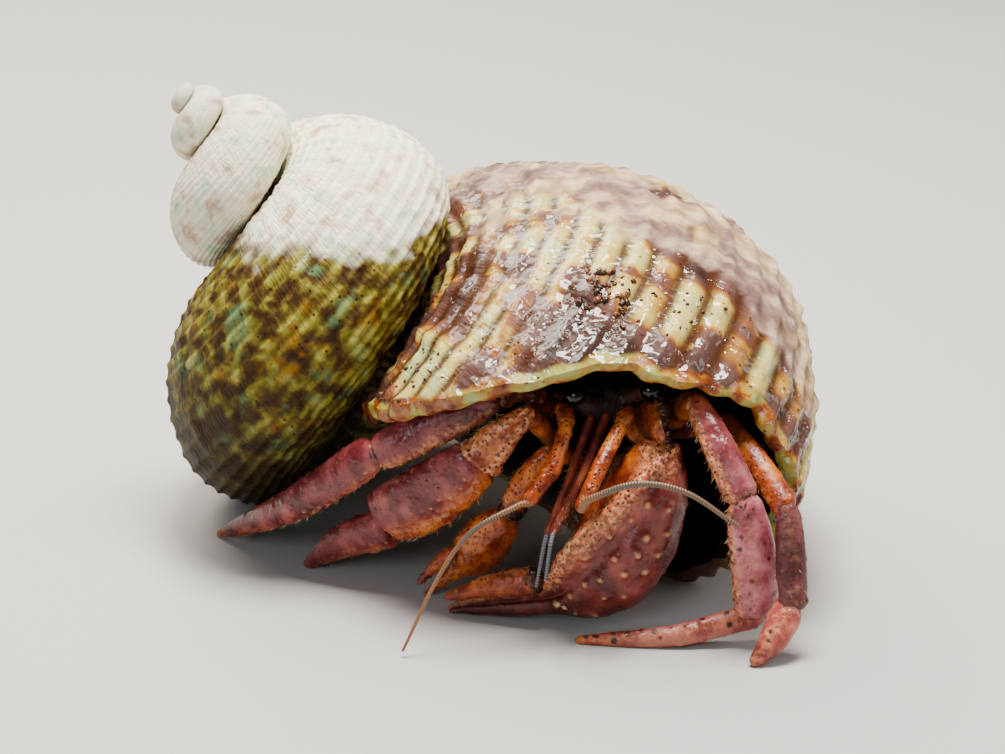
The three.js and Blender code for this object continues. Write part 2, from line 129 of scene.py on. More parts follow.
def ripples(points, size, seed):
    """Smooth noise of about -1 to 1: the sum of 20 sine waves of random direction with
    wavelengths near size, in mm."""
    random = np.random.default_rng(seed)
    heading = unit(random.normal(size=(20, 3)))
    step = TURN / (size * random.uniform(0.7, 1.6, 20))
    phase = random.uniform(0, TURN, 20)
    return np.sin(points @ (heading * step[:, None]).T + phase).sum(-1) / 6.0


def smooth_step(value, low, high):
    """0 below low, 1 above high, and an S-shaped cubic between."""
    share = np.clip((value - low) / (high - low), 0, 1)
    return share * share * (3 - 2 * share)


def row_normals(grid):
    """Unit normals of a closed grid of points: the cross product of its steps along and across."""
    across = np.roll(grid, -1, axis=1) - np.roll(grid, 1, axis=1)
    normal = unit(np.cross(np.gradient(grid, axis=0), across))
    outward = grid - grid.mean(axis=1, keepdims=True)
    return normal * np.sign((normal * outward).sum())


def new_piece(name, points, faces, finish, slot, corner_uv=None, values=None):
    """Puts points in mm and faces into a smooth mesh object that rides on the model. corner_uv
    is one (map name, array) pair with a row for each corner; values are named point attributes."""
    mesh = bpy.data.meshes.new(name)
    mesh.from_pydata((points * MM).tolist(), [], faces)
    mesh.polygons.foreach_set("use_smooth", np.ones(len(mesh.polygons), bool))
    if corner_uv:
        layer = mesh.uv_layers.new(name=corner_uv[0])
        layer.data.foreach_set("uv", corner_uv[1].astype(np.float32).ravel())
    for key, value in (values or {}).items():
        attribute = mesh.attributes.new(key, "FLOAT", "POINT")
        attribute.data.foreach_set("value", value.astype(np.float32).ravel())
    mesh.materials.append(finish)
    mesh.update()
    piece = bpy.data.objects.new(name, mesh)
    bpy.context.scene.collection.objects.link(piece)
    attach(piece, "root")
    return piece


def grid_mesh(grid, inward=False, start_pole=False, end_pole=False, uv=None):
    """Quads between neighbouring rows and columns of a grid of points, the last column joined to
    the first; a pole closes an end with a fan. Faces look away from the middle of their row, or
    towards it. uv has one column more than the grid, so that it can close."""
    rows, cols = grid.shape[:2]
    row, col = np.meshgrid(np.arange(rows - 1), np.arange(cols), indexing="ij")
    near, far = row * cols + col, row * cols + (col + 1) % cols
    quads = np.stack([near, far, far + cols, near + cols], -1).reshape(-1, 4)
    points = grid.reshape(-1, 3)
    corners = points[quads]
    facing = np.cross(corners[:, 2] - corners[:, 0], corners[:, 3] - corners[:, 1])
    middle = np.repeat(grid.mean(axis=1)[:-1], cols, axis=0)
    turned = ((facing * (corners.mean(axis=1) - middle)).sum() < 0) != inward
    faces = (quads[:, ::-1] if turned else quads).tolist()
    maps = None
    if uv is not None:
        maps = np.stack([uv[row, col], uv[row, col + 1], uv[row + 1, col + 1], uv[row + 1, col]], 2)
        maps = maps.reshape(-1, 4, 2)
        maps = (maps[:, ::-1] if turned else maps).reshape(-1, 2)
    ring = np.arange(cols)
    for wanted, row, at_start in ((start_pole, 0, True), (end_pole, rows - 1, False)):
        if not wanted:
            continue
        edge = row * cols + ring
        fan = np.stack([np.full(cols, len(points)), row * cols + (ring + 1) % cols, edge], -1)
        faces += (fan if at_start != turned else fan[:, ::-1]).tolist()
        points = np.concatenate([points, points[edge].mean(axis=0)[None]])
        if maps is not None:
            maps = np.concatenate([maps, np.repeat(uv[row, :cols], 3, axis=0)])
    return points, faces, maps


def with_poles(value, poles):
    """A point attribute of a grid, with the mean of the end row for each pole."""
    return np.concatenate([value.ravel(), [value[row].mean() for row in poles]])


def closed_piece(name, grid, finish, slot, values=None):
    """A piece from a grid that a pole closes at both ends."""
    points, faces, _ = grid_mesh(grid, start_pole=True, end_pole=True)
    values = {key: with_poles(value, (0, -1)) for key, value in (values or {}).items()}
    return new_piece(name, points, faces, finish, slot, values=values)


# ---- The turban shell: its finish ------------------------------------------------------------
# Turban shell: chalk over nacre. Where it is wet it is glossy, cream and mauve brown in blocks
# along the cords; dry it is pale and sandy; the older whorls carry algae, the spire is bleached.
def linear(colour):
    """An sRGB hex colour as linear red, green, blue and alpha."""
    part = np.array([int(colour[i:i + 2], 16) for i in (1, 3, 5)]) / 255
    part = np.where(part <= 0.04045, part / 12.92, ((part + 0.055) / 1.055) ** 2.4)
    return (*part.tolist(), 1.0)


def add_node(tree, kind, inputs=None, out=0, stops=None, **settings):
    """Adds a shader node with its settings and links, and gives its output out. An input is a
    number, a tuple, a hex colour or another node's output; stops are a ramp's places and colours."""
    node = tree.nodes.new("ShaderNode" + kind)
    for key, value in settings.items():
        setattr(node, key, value)
    for key, value in (inputs or {}).items():
        if isinstance(value, bpy.types.NodeSocket):
            tree.links.new(value, node.inputs[key])
        else:
            node.inputs[key].default_value = linear(value) if isinstance(value, str) else value
    if stops:
        ramp = node.color_ramp
        while len(ramp.elements) < len(stops):
            ramp.elements.new(0.5)
        for element, (place, colour) in zip(ramp.elements, stops):
            element.position = place
            element.color = linear(colour)
    return node.outputs[out]


def new_finish(name):
    """An empty material: itself, its node tree, its surface input and its object coordinates."""
    finish = bpy.data.materials.new(name)
    finish.use_nodes = True
    tree = finish.node_tree
    tree.nodes.clear()
    surface = tree.nodes.new("ShaderNodeOutputMaterial").inputs["Surface"]
    return finish, tree, surface, add_node(tree, "TexCoord", out="Object")


PER_MM = 1 / MM                     # turns "features per mm" into a texture scale
IN_COLOUR = {"out": 2, "data_type": "RGBA"}     # for a Mix node that mixes colours
finish_shell, tree, surface, place = new_finish("turban shell, wet and dry")
wet, crest, age, rim, low, combed, push = (
    add_node(tree, "Attribute", out="Fac", attribute_name=name)
    for name in ("wet", "crest", "age", "rim", "low", "combed", "push"))
spiral = add_node(tree, "UVMap", uv_map="spiral")
# Flames of colour 5 to 10 mm long that cross several cords, broken up cord by cord.
ragged = add_node(tree, "TexNoise", {"Vector": place, "Scale": 0.8 * PER_MM, "Detail": 3.0}, out="Color")
ragged = add_node(tree, "VectorMath", {0: ragged, 1: (0, 1.1, 0), 2: spiral}, operation="MULTIPLY_ADD")
cord = add_node(tree, "VectorMath", {0: ragged, 1: (1, 1, 0)}, operation="SNAP")
cord = add_node(tree, "SeparateXYZ", {0: cord}, out=1)
turns = add_node(tree, "SeparateXYZ", {0: spiral})
cord_place = add_node(tree, "CombineXYZ", {
    0: add_node(tree, "Math", {0: turns, 1: 30.0}, operation="MULTIPLY"),
    1: add_node(tree, "Math", {0: cord, 1: 3.7}, operation="MULTIPLY")})
blocks = add_node(tree, "TexNoise", {"Vector": cord_place, "Scale": 1.0, "Detail": 3.0})
flames = add_node(tree, "VectorMath", {0: spiral, 1: (17.0, 0.22, 0)}, operation="MULTIPLY")
flames = add_node(tree, "TexNoise", {"Vector": flames, "Scale": 1.0, "Detail": 4.0, "Distortion": 0.8})
share = add_node(tree, "MapRange", {0: combed, 3: 0.12, 4: 0.75})
both = add_node(tree, "Mix", {0: share, 2: flames, 3: blocks})
both = add_node(tree, "Math", {0: both, 1: push}, operation="ADD")
wet_colour = add_node(tree, "ValToRGB", {0: both}, stops=[
    (0.34, "#36211b"), (0.47, "#64433a"), (0.492, "#824a22"), (0.515, "#b48434"), (0.56, "#cdb55e"),
    (0.66, "#b6bb7c")])
stain = add_node(tree, "TexNoise", {"Vector": place, "Scale": 0.5 * PER_MM, "Detail": 5.0})
rust = add_node(tree, "ValToRGB", {0: stain}, stops=[(0.63, "#000000"), (0.74, "#ffffff")])
wet_colour = add_node(tree, "Mix", {0: rust, 6: wet_colour, 7: "#9a5018"}, **IN_COLOUR)
groove = add_node(tree, "MapRange", {0: crest, 1: 0.08, 2: 0.72, 3: 0.95, 4: 0.0})
wet_colour = add_node(tree, "Mix", {0: groove, 6: wet_colour, 7: "#43230f"}, **IN_COLOUR)
# Algae on the last whorl but one, in clumps of a millimetre or two, with painted shade that darkens them
# towards the ground.
clumps = add_node(tree, "TexNoise", {
    "Vector": place, "Scale": 0.6 * PER_MM, "Detail": 6.0, "Distortion": 0.3})
algae = add_node(tree, "ValToRGB", {0: clumps}, stops=[
    (0.33, "#321e10"), (0.43, "#4f3a18"), (0.50, "#6e5e20"), (0.57, "#8d8529"), (0.68, "#b3ad5c")])
patches = add_node(tree, "TexNoise", {"Vector": place, "Scale": 0.42 * PER_MM, "Detail": 3.0})
mint = add_node(tree, "MapRange", {0: patches, 1: 0.58, 2: 0.70, 4: 0.6})
amber = add_node(tree, "MapRange", {0: patches, 1: 0.41, 2: 0.30, 4: 0.7})
algae_groove = add_node(tree, "Math", {0: groove, 1: 0.55}, operation="MULTIPLY")
for share, tint in ((mint, "#6c9a66"), (amber, "#98660f"), (algae_groove, "#2c1a08"), (low, "#1c1206")):
    algae = add_node(tree, "Mix", {0: share, 6: algae, 7: tint}, **IN_COLOUR)
old = add_node(tree, "MapRange", {0: age, 1: 0.42, 2: 0.66})
wet_colour = add_node(tree, "Mix", {0: old, 6: wet_colour, 7: algae}, **IN_COLOUR)
# Dry shell: the same pattern under a chalky bloom, whiter on the older whorls.
bloom = add_node(tree, "ValToRGB", {0: both}, stops=[
    (0.40, "#694c4e"), (0.47, "#876962"), (0.52, "#bb9b68"), (0.62, "#cfb98a")])
chalk = add_node(tree, "ValToRGB", {0: stain}, stops=[
    (0.38, "#5c4438"), (0.48, "#94796a"), (0.60, "#d2bb9c")])
dry = add_node(tree, "Mix", {0: 0.5, 6: bloom, 7: chalk}, **IN_COLOUR)
bleached = add_node(tree, "ValToRGB", {0: clumps}, stops=[
    (0.34, "#cdb392"), (0.44, "#f6ead0"), (0.54, "#fffbe2"), (0.62, "#d9f0cc"), (0.72, "#bcdcaa")])
old_dry = add_node(tree, "MapRange", {0: age, 1: 0.50, 2: 0.85})
dry = add_node(tree, "Mix", {0: old_dry, 6: dry, 7: bleached}, **IN_COLOUR)
dry_groove = add_node(tree, "MapRange", {0: crest, 1: 0.0, 2: 0.4, 3: 0.30, 4: 0.0})
dry = add_node(tree, "Mix", {0: dry_groove, 6: dry, 7: "#8f7466"}, **IN_COLOUR)
colour = add_node(tree, "Mix", {0: wet, 6: dry, 7: wet_colour}, **IN_COLOUR)
lip_colour = add_node(tree, "ValToRGB", {0: stain}, stops=[
    (0.36, "#561f05"), (0.45, "#8f4a12"), (0.51, "#a47c2c"), (0.59, "#a09c48"), (0.70, "#93a468")])
colour = add_node(tree, "Mix", {0: rim, 6: colour, 7: lip_colour}, **IN_COLOUR)
# Pits and specks of dirt, 0.2 mm across, that show where the shell is wet.
speck = add_node(tree, "TexVoronoi", {"Vector": place, "Scale": 1.1 * PER_MM})
speck = add_node(tree, "MapRange", {0: speck, 1: 0.09, 2: 0.18, 3: 0.9, 4: 0.0})
speck = add_node(tree, "Math", {0: speck, 1: wet}, operation="MULTIPLY")
colour = add_node(tree, "Mix", {0: speck, 6: colour, 7: "#2c1408"}, **IN_COLOUR)
# Growth lines across the cords, about 0.5 mm apart, and sand in the dry crust.
lines = add_node(tree, "VectorMath", {0: spiral, 1: (330.0, 0.8, 0)}, operation="MULTIPLY")
lines = add_node(tree, "TexNoise", {"Vector": lines, "Scale": 1.0, "Detail": 3.0})
relief = add_node(tree, "Bump", {"Strength": 0.7, "Distance": 0.25 * MM, "Height": lines})
sand = add_node(tree, "TexNoise", {"Vector": place, "Scale": 2.4 * PER_MM, "Detail": 3.0})
relief = add_node(tree, "Bump", {"Strength": 0.5, "Distance": 0.12 * MM, "Height": sand, "Normal": relief})
# The film of water lies level between grains of crust about 1.4 mm apart, which push through it.
warp = add_node(tree, "TexNoise", {"Vector": place, "Scale": 0.9 * PER_MM, "Detail": 2.0}, out="Color")
film = add_node(tree, "VectorMath", {0: warp, 1: (1.6 * MM,) * 3, 2: place}, operation="MULTIPLY_ADD")
film = add_node(tree, "TexVoronoi", {"Vector": film, "Scale": 0.72 * PER_MM})
film = add_node(tree, "MapRange", {0: film, 1: 0.08, 2: 0.46, 3: 1.0, 4: 0.0},
                interpolation_type="SMOOTHSTEP")
swells = add_node(tree, "TexNoise", {"Vector": place, "Scale": 0.42 * PER_MM, "Detail": 2.0})
level = add_node(tree, "Bump", {"Strength": 1.0, "Distance": 0.9 * MM, "Height": swells})
level = add_node(tree, "Bump", {"Strength": 1.0, "Distance": 0.24 * MM, "Height": film, "Normal": level})
film_share = add_node(tree, "MapRange", {0: old, 3: 1.0, 4: 0.03})
film_share = add_node(tree, "Math", {0: film_share, 1: wet}, operation="MULTIPLY")
rough = add_node(tree, "MapRange", {0: wet, 3: 0.80, 4: 0.34})
rough = add_node(tree, "Mix", {0: old, 2: rough, 3: 0.55})
body = add_node(tree, "BsdfPrincipled", {
    "Base Color": colour, "Roughness": rough, "Normal": relief, "IOR": 1.5, "Specular IOR Level": 0.08,
    "Coat Weight": film_share, "Coat Roughness": 0.02, "Coat IOR": 1.40, "Coat Normal": level})
tree.links.new(body, surface)

# The inside of the shell: nacre painted near black, as painted shade deep in the shell's mouth.
finish_inside_painted_dark, tree, surface, place = new_finish("nacre, painted near black as shade")
pearl = add_node(tree, "TexNoise", {"Vector": place, "Scale": 0.25 * PER_MM, "Detail": 4.0})
pearl = add_node(tree, "ValToRGB", {0: pearl}, stops=[(0.35, "#0c0805"), (0.5, "#1d150e"), (0.68, "#3a3020")])
body = add_node(tree, "BsdfPrincipled", {"Base Color": pearl, "Roughness": 0.35, "IOR": 1.6})
tree.links.new(body, surface)


# ---- The turban shell: its pieces --------------------------------------------------------------
# Cast in lengths that meet edge to edge, from the lip back to the apex; the rim is rolled
# over to the nacre inside, and the side that the shell rests on is worn flat.
SHELL_LENGTHS = {                   # name: end angles in degrees from the lip, rows, columns
    "shell_lip_length": (-105, None, 275, 352),
    "shell_body_whorl": (-245, -105, 270, 352),
    "shell_back_whorl": (-385, -245, 200, 300),
    "shell_second_whorl": (-745, -385, 330, 190),
    "shell_spire": (-360 * TURNS, -745, 420, 96),
}
ROWS_CROWD = 1.25                   # how much the rows draw together towards the lip
WORN_TURNS, WORN = 2, 0.45          # older whorls than this keep this share of their relief
WET_LEVEL = 25.6                    # height of the wet line on the left half of the shell
WET_FALL = 0.0042                   # how fast it falls on the right, as a cube of the distance
WET_FALL_FROM = 10.0
WET_RISE = 1.7                      # how much higher it lies on the front of the body whorl
PAINTED_SHADE_LEVEL = 12.5                  # below it the algae get painted shade, darker towards the ground
LIP_BAND = 0.75                     # width of the pale band along the lip
FLAMES = [                          # degrees on from the lip, spread, degrees round the tube,
    (2, 8, 84, 24, -0.22),          # spread, and push: mauve below 0 and cream above
    (-15, 6, 80, 28, 0.08),
    (-10, 7, 53, 9, -0.10),
    (-9, 9, 107, 5, 0.16),
    (10, 10, 119, 5, 0.16),
    (0, 12, 135, 8, -0.12),
    (22, 10, 133, 5, 0.12),
]


def above_floor(points, clearance=0.0):
    """The points with those that are lower than the clearance raised to it."""
    points[..., 2] = np.maximum(points[..., 2], clearance)
    return points


def shell_grid(angle, around):
    """The outside of the shell: the spiral with its section scaled up by the cords, growth
    waves and a fine unevenness. Nothing goes below the floor."""
    phase, crest = cord_crest(around)
    plain = on_spiral(angle, around, np.ones_like(angle))
    wear = np.where(angle < -WORN_TURNS * TURN, WORN, 1.0)
    beads = 1 + 0.16 * np.sin(angle * 66 + 2.2 * np.sin(around * 5)) * (crest > 0.3)
    threads = 0.004 * np.cos(2 * TURN * phase)
    growth = 0.006 * np.sin(angle * 23 + np.sin(around * 3)) + 0.004 * np.sin(angle * 41 + 1.3)
    lumps = 0.012 * ripples(plain, 7.0, 1) + 0.006 * ripples(plain, 2.6, 2)
    grid = on_spiral(angle, around, 1 + wear * (CORD_HEIGHT * crest * beads + threads + growth) + lumps)
    return above_floor(grid), crest


def wetness(points):
    """1 below the wet line and 0 above it. The line lies at one height on the left, falls as a
    cube on the right, and wanders by a millimetre or so. It is blurred on the left and behind."""
    x, y, z = np.moveaxis(points, -1, 0)
    fall = WET_FALL * np.maximum(x - WET_FALL_FROM, 0) ** 3 * (1 - smooth_step(y, 5, 40))
    rise = WET_RISE * np.exp(-((x - 7.5) / 6.5) ** 2)
    left = 1 - smooth_step(x, -12, -5)
    line = WET_LEVEL + rise - fall + 0.9 * ripples(points, 6.0, 3)
    line = line + (0.35 + 0.35 * left) * ripples(points, 1.6, 4)
    blur = 1 + 2.6 * left + 6.0 * smooth_step(y, 2, 12)
    return smooth_step(line - z, -0.35 * blur, 0.45 * blur)


def flame_push(angle, around):
    """Pushes the colour towards mauve or cream round the middles of FLAMES, as bells."""
    push = 0 * angle
    for along, length, place, width, strength in FLAMES:
        gap = ((np.degrees(angle) - along) / length) ** 2 + ((np.degrees(around) - place) / width) ** 2
        push = push + strength * np.exp(-gap)
    return push


def shell_looks(angle, around, grid, crest):
    """The attributes that the finish reads, each from 0 to 1, and the push of the flames."""
    x, y, z = np.moveaxis(grid, -1, 0)
    age = -angle / TURN
    size = TUBE_RADIUS * GROWTH ** (angle / TURN)
    from_lip = (lip_angle(around) - angle) * size * 1.5
    return {
        "crest": crest,
        "age": age,
        "wet": wetness(grid) * (1 - 0.8 * smooth_step(age, 1.3, 1.45)),
        "rim": smooth_step(LIP_BAND - from_lip + 0.4 * ripples(grid, 2.0, 5), -0.3, 0.3),
        # low: painted shade on the algae, darker towards the ground
        "low": 0.95 * smooth_step(PAINTED_SHADE_LEVEL + 1.5 * ripples(grid, 4.0, 6) - z, -8.0, 7.0),
        "combed": (0.35 + 0.65 * smooth_step(x, 11.0, 15.0)) * (1 - smooth_step(y, -8.0, 4.0)),
        "push": flame_push(angle, around),
    }


for name, (start, end, rows, cols) in SHELL_LENGTHS.items():
    around = np.linspace(0, TURN, cols, endpoint=False)[None, :]
    share = np.linspace(0, 1, rows)[:, None]
    if end is None:
        last = lip_angle(around)
        share = 1 - (1 - share) ** ROWS_CROWD
    else:
        last = np.full_like(around, np.radians(end))
    angle = np.radians(start) + (last - np.radians(start)) * share
    around = around + 0 * angle
    grid, crest = shell_grid(angle, around)
    closing = np.concatenate([around, np.full((rows, 1), TURN)], axis=1)
    uv = np.stack([np.concatenate([angle, angle[:, :1]], axis=1) / TURN, cord_crest(closing)[0]], -1)
    at_apex = name == "shell_spire"
    points, faces, maps = grid_mesh(grid, uv=uv, start_pole=at_apex)
    values = {key: with_poles(value, [0] if at_apex else [])
              for key, value in shell_looks(angle, around, grid, crest).items()}
    piece = new_piece(name, points, faces, finish_shell, "shell", ("spiral", maps), values)
    if end is None:
        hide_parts("shell")
        front_grid, front_normals = grid, row_normals(grid)
        around_lip = around[-1]

# The rim bulges forward between the outer and the inner wall, and its colour fades near the floor.
RIM_ROWS, RIM_BULGE = 9, 0.38
FORWARD_STEP = 0.01                 # in radians of the spiral
lip = lip_angle(around_lip)
share = np.linspace(0, 1, RIM_ROWS)[:, None]
inner_edge = on_spiral(lip, around_lip, np.full_like(lip, WALL_SCALE))
forward = unit(on_spiral(lip + FORWARD_STEP, around_lip, np.ones_like(lip))
               - on_spiral(lip, around_lip, np.ones_like(lip)))
grid = (front_grid[-1] * (1 - share[..., None]) + inner_edge * share[..., None]
        + forward * (RIM_BULGE * np.sin(np.pi * share))[..., None])[::-1]
grid = above_floor(grid)
points, faces, maps = grid_mesh(grid, uv=np.zeros((RIM_ROWS, len(lip) + 1, 2)))
RIM_LOOKS = {"crest": 1, "wet": 1, "age": 0, "low": 0, "combed": 0, "push": 0}
values = {key: np.full(grid.shape[:2], level) for key, level in RIM_LOOKS.items()}
values["rim"] = smooth_step(grid[..., 2], 0.5, 6.0)
new_piece("shell_rim", points, faces, finish_shell, "shell", ("spiral", maps), values)

# The inside runs back a turn and a half and closes in the dark.
INSIDE_ROWS, INSIDE_REACH = 220, 1.5 * TURN
INSIDE_RELIEF = 0.003               # of the cords that show through at the lip, in tube radii
INSIDE_CLEARANCE = 0.05             # how far it keeps off the floor
share = np.linspace(0, 1, INSIDE_ROWS)[:, None]
angle = (lip + INSIDE_REACH) * share - INSIDE_REACH
around = around_lip + 0 * angle
relief_in = INSIDE_RELIEF * cord_crest(around)[1] * smooth_step(share, 0.9, 1)
grid = above_floor(on_spiral(angle, around, WALL_SCALE + relief_in), INSIDE_CLEARANCE)
points, faces, maps = grid_mesh(grid, inward=True, start_pole=True)
new_piece("shell_inside", points, faces, finish_inside_painted_dark, "shell")


# ---- The animal's cuticle ---------------------------------------------------------------------
# Chitin hardened with chalk, thin, wet and glossy: mauve brown on the outer faces, orange on
# the edges and near the body, with pale granular bands pitted by dark dots.
finish_cuticle, tree, surface, place = new_finish("crab cuticle, hardened chitin")
part = {name: add_node(tree, "Attribute", out="Fac", attribute_name=name)
        for name in ("warm", "band", "dots", "knob", "mud", "fleck", "shade", "rosy")}
cloud = add_node(tree, "TexNoise", {"Vector": place, "Scale": 0.55 * PER_MM, "Detail": 4.0})
grain = add_node(tree, "TexNoise", {"Vector": place, "Scale": 2.6 * PER_MM, "Detail": 3.0})
mauve = add_node(tree, "ValToRGB", {0: cloud}, stops=[
    (0.30, "#44110f"), (0.45, "#5b1b17"), (0.57, "#752b25"), (0.70, "#94463e")])
rosy = add_node(tree, "ValToRGB", {0: cloud}, stops=[(0.30, "#772a33"), (0.46, "#a54c56"), (0.62, "#cd7c82")])
mauve = add_node(tree, "Mix", {0: part["rosy"], 6: mauve, 7: rosy}, **IN_COLOUR)
orange = add_node(tree, "ValToRGB", {0: cloud}, stops=[
    (0.32, "#7a2503"), (0.48, "#b54a0a"), (0.64, "#d6761c")])
drift = add_node(tree, "Math", {0: cloud, 1: 1.0, 2: -0.5}, operation="MULTIPLY_ADD")
warmth = add_node(tree, "Math", {0: part["warm"], 1: drift}, operation="ADD", use_clamp=True)
colour = add_node(tree, "Mix", {0: warmth, 6: mauve, 7: orange}, **IN_COLOUR)
pale = add_node(tree, "ValToRGB", {0: grain}, stops=[(0.34, "#a0421e"), (0.5, "#c46b40"), (0.64, "#e39a70")])
band = add_node(tree, "Math", {0: part["band"], 1: grain}, operation="MULTIPLY")
band = add_node(tree, "MapRange", {0: band, 1: 0.14, 2: 0.50})
colour = add_node(tree, "Mix", {0: band, 6: colour, 7: pale}, **IN_COLOUR)
# Pits that carry a seta each, about 0.35 mm apart, and fewer large red flecks.
pit = add_node(tree, "TexVoronoi", {"Vector": place, "Scale": 3.0 * PER_MM})
pit = add_node(tree, "MapRange", {0: pit, 1: 0.24, 2: 0.38, 3: 1.0, 4: 0.0})
pit = add_node(tree, "Math", {0: pit, 1: part["dots"]}, operation="MULTIPLY")
# fleck, knob and mud are the cuticle's own marks; shade is painted shade, near black, and it also makes the
# surface rougher.
STAINS_AND_PAINTED_SHADE = {"fleck": "#43100a", "knob": "#cf965f", "mud": "#170c06", "shade": "#0c0503"}
for share, stain in [(pit, "#2c0d08"), *((part[name], tint) for name, tint in STAINS_AND_PAINTED_SHADE.items())]:
    colour = add_node(tree, "Mix", {0: share, 6: colour, 7: stain}, **IN_COLOUR)
relief = add_node(tree, "Bump", {"Strength": 0.5, "Distance": 0.11 * MM, "Height": grain})
relief = add_node(tree, "Bump", {"Strength": 0.6, "Distance": 0.06 * MM, "Height": pit, "Normal": relief},
                  invert=True)
rough = add_node(tree, "MapRange", {0: cloud, 1: 0.3, 2: 0.7, 3: 0.18, 4: 0.38})
rough = add_node(tree, "Mix", {0: part["shade"], 2: rough, 3: 0.6})
body = add_node(tree, "BsdfPrincipled", {
    "Base Color": colour, "Roughness": rough, "Normal": relief, "IOR": 1.54, "Specular IOR Level": 0.34})
tree.links.new(body, surface)


# ---- Plates of the limbs and the head -----------------------------------------------------------
# Each plate is a closed case that the crab moults as one; its course and girth come from the
# CAD solid, and ridges, granules and a rolled rim at the joint are raised on it.
SLICES = 48
ROW_STEP = 0.11                     # between points, in mm
END_MARGIN = 0.004                  # share of a solid's length before its first cut
KEPT_WAVES = 5                      # of the girth round a section, which rounds off flat facets
TUCK = 0.60                         # how far a plate's near end goes into the one before it, in mm
COLUMNS, ROWS = (28, 300), (16, 300)    # fewest and most in a plate
plates = {}                         # node: the finished grid, its normals and its parameters
joints = []                         # place, heading and radius of each joint that a membrane closes


def eased(rows, rounds):
    """Each row averaged with its neighbours, rounds times; the ends stay."""
    for _ in range(rounds):
        rows[1:-1] = (rows[:-2] + 2 * rows[1:-1] + rows[2:]) / 4
    return rows


def across_from(heading):
    """Two directions across a heading: one towards the camera, and one to its side."""
    front = unit(TOWARDS_CAMERA - heading * (heading @ TOWARDS_CAMERA)[..., None])
    return front, np.cross(heading, front)


def cad_sections(node, near=None, count=SLICES, columns=64):
    """Cuts a CAD solid across its longest direction. Gives the middle of each cut, and its
    radius at even angles from the side that faces the camera, with only the slow waves kept.
    It starts at the end nearest to near, or at the thick end."""
    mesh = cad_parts[node].data
    mesh.calc_loop_triangles()
    corners = np.empty(len(mesh.vertices) * 3)
    mesh.vertices.foreach_get("co", corners)
    index = np.empty(len(mesh.loop_triangles) * 3, int)
    mesh.loop_triangles.foreach_get("vertices", index)
    corners = corners.reshape(-1, 3)[index.reshape(-1, 3)] / MM
    points = np.unique(corners.reshape(-1, 3).round(4), axis=0)
    heading = np.linalg.svd(points - points.mean(axis=0), full_matrices=False)[2][0]
    reach = points @ heading
    first, last = points[reach.argmin()], points[reach.argmax()]
    if near is None:
        swap = reach.max() - np.median(reach) < np.median(reach) - reach.min()
    else:
        swap = np.linalg.norm(last - near) < np.linalg.norm(first - near)
    heading = -heading if swap else heading
    front, side = across_from(heading)
    reach = corners @ heading
    low, high = reach.min(), reach.max()
    share = np.linspace(END_MARGIN, 1 - END_MARGIN, count)
    angles = np.arange(columns) * TURN / columns
    centres, radii = [], []
    for cut in low + share * (high - low):
        crossing = []
        for a, b in ((0, 1), (1, 2), (2, 0)):
            hit = (reach[:, a] - cut) * (reach[:, b] - cut) < 0
            part_way = (cut - reach[hit, a]) / (reach[hit, b] - reach[hit, a])
            crossing.append(corners[hit, a] + part_way[:, None] * (corners[hit, b] - corners[hit, a]))
        flat = np.concatenate(crossing) @ np.stack([front, side], axis=1)
        middle = (flat.min(axis=0) + flat.max(axis=0)) / 2
        away = flat - middle
        turn = np.arctan2(away[:, 1], away[:, 0])
        order = np.argsort(turn)
        girth = np.interp(angles, turn[order], np.linalg.norm(away, axis=1)[order], period=TURN)
        waves = np.fft.rfft(girth)
        waves[KEPT_WAVES:] = 0
        radii.append(np.fft.irfft(waves, columns))
        centres.append(middle[0] * front + middle[1] * side + cut * heading)
    return {"centres": eased(np.array(centres), 4), "radii": eased(np.array(radii), 4), "front": front,
            "side": side, "heading": heading, "low": low, "length": high - low, "share": share}


def spread(values, share, rows, cols):
    """A table of slices by angles, read at new shares and at new even angles."""
    at = np.interp(rows, share, np.arange(len(share)))
    low = np.minimum(at.astype(int), len(share) - 2)
    mixed = values[low] + (at - low)[:, None] * (values[low + 1] - values[low])
    new = np.arange(cols) * TURN / cols
    waves = np.fft.rfft(mixed, axis=1)[:, :KEPT_WAVES]
    turn = np.exp(1j * np.arange(KEPT_WAVES)[:, None] * new)
    weight = np.where(np.arange(KEPT_WAVES) == 0, 1.0, 2.0)[:, None]
    return (waves @ (weight * turn)).real / values.shape[1]


def stripe(along, around, start, end, half_width):
    """1 on a line that runs along the plate from angle start to angle end, in degrees, falling
    off as a bell to its half width."""
    gap = (around - np.radians(start + (end - start) * along) + np.pi) % TURN - np.pi
    return np.exp(-(gap / np.radians(half_width)) ** 2)


def raise_bumps(grid, spots, sizes, heights):
    """How far each point is raised by bell-shaped bumps at the spots, and how close it is to
    their tops, from 0 to 1."""
    lift = np.zeros(grid.shape[:2])
    top = np.zeros(grid.shape[:2])
    for spot, size, height in zip(spots, sizes, heights):
        bell = np.exp(-((grid - spot) ** 2).sum(axis=-1) / size ** 2)
        lift = np.maximum(lift, height * bell)
        top = np.maximum(top, bell)
    return lift, top


def scattered(grid, weight, count, random, apart=0.0):
    """Indices of grid points picked at random, most often where weight is high and the mesh is
    wide, and no closer together than apart."""
    girth = np.linalg.norm(np.roll(grid, -1, axis=1) - grid, axis=-1)
    chance = np.maximum(weight * girth, 0).ravel()
    picked = random.choice(chance.size, size=count, p=chance / chance.sum())
    if not apart:
        return picked
    points, kept = grid.reshape(-1, 3), []
    for index in picked:
        if all(np.linalg.norm(points[index] - points[other]) > apart for other in kept):
            kept.append(index)
    return np.array(kept)


def stripes(along, around, lines):
    """Each line's stripe, times the strength or height that comes last in it."""
    return [strength * stripe(along, around, *line) for *line, strength in lines]


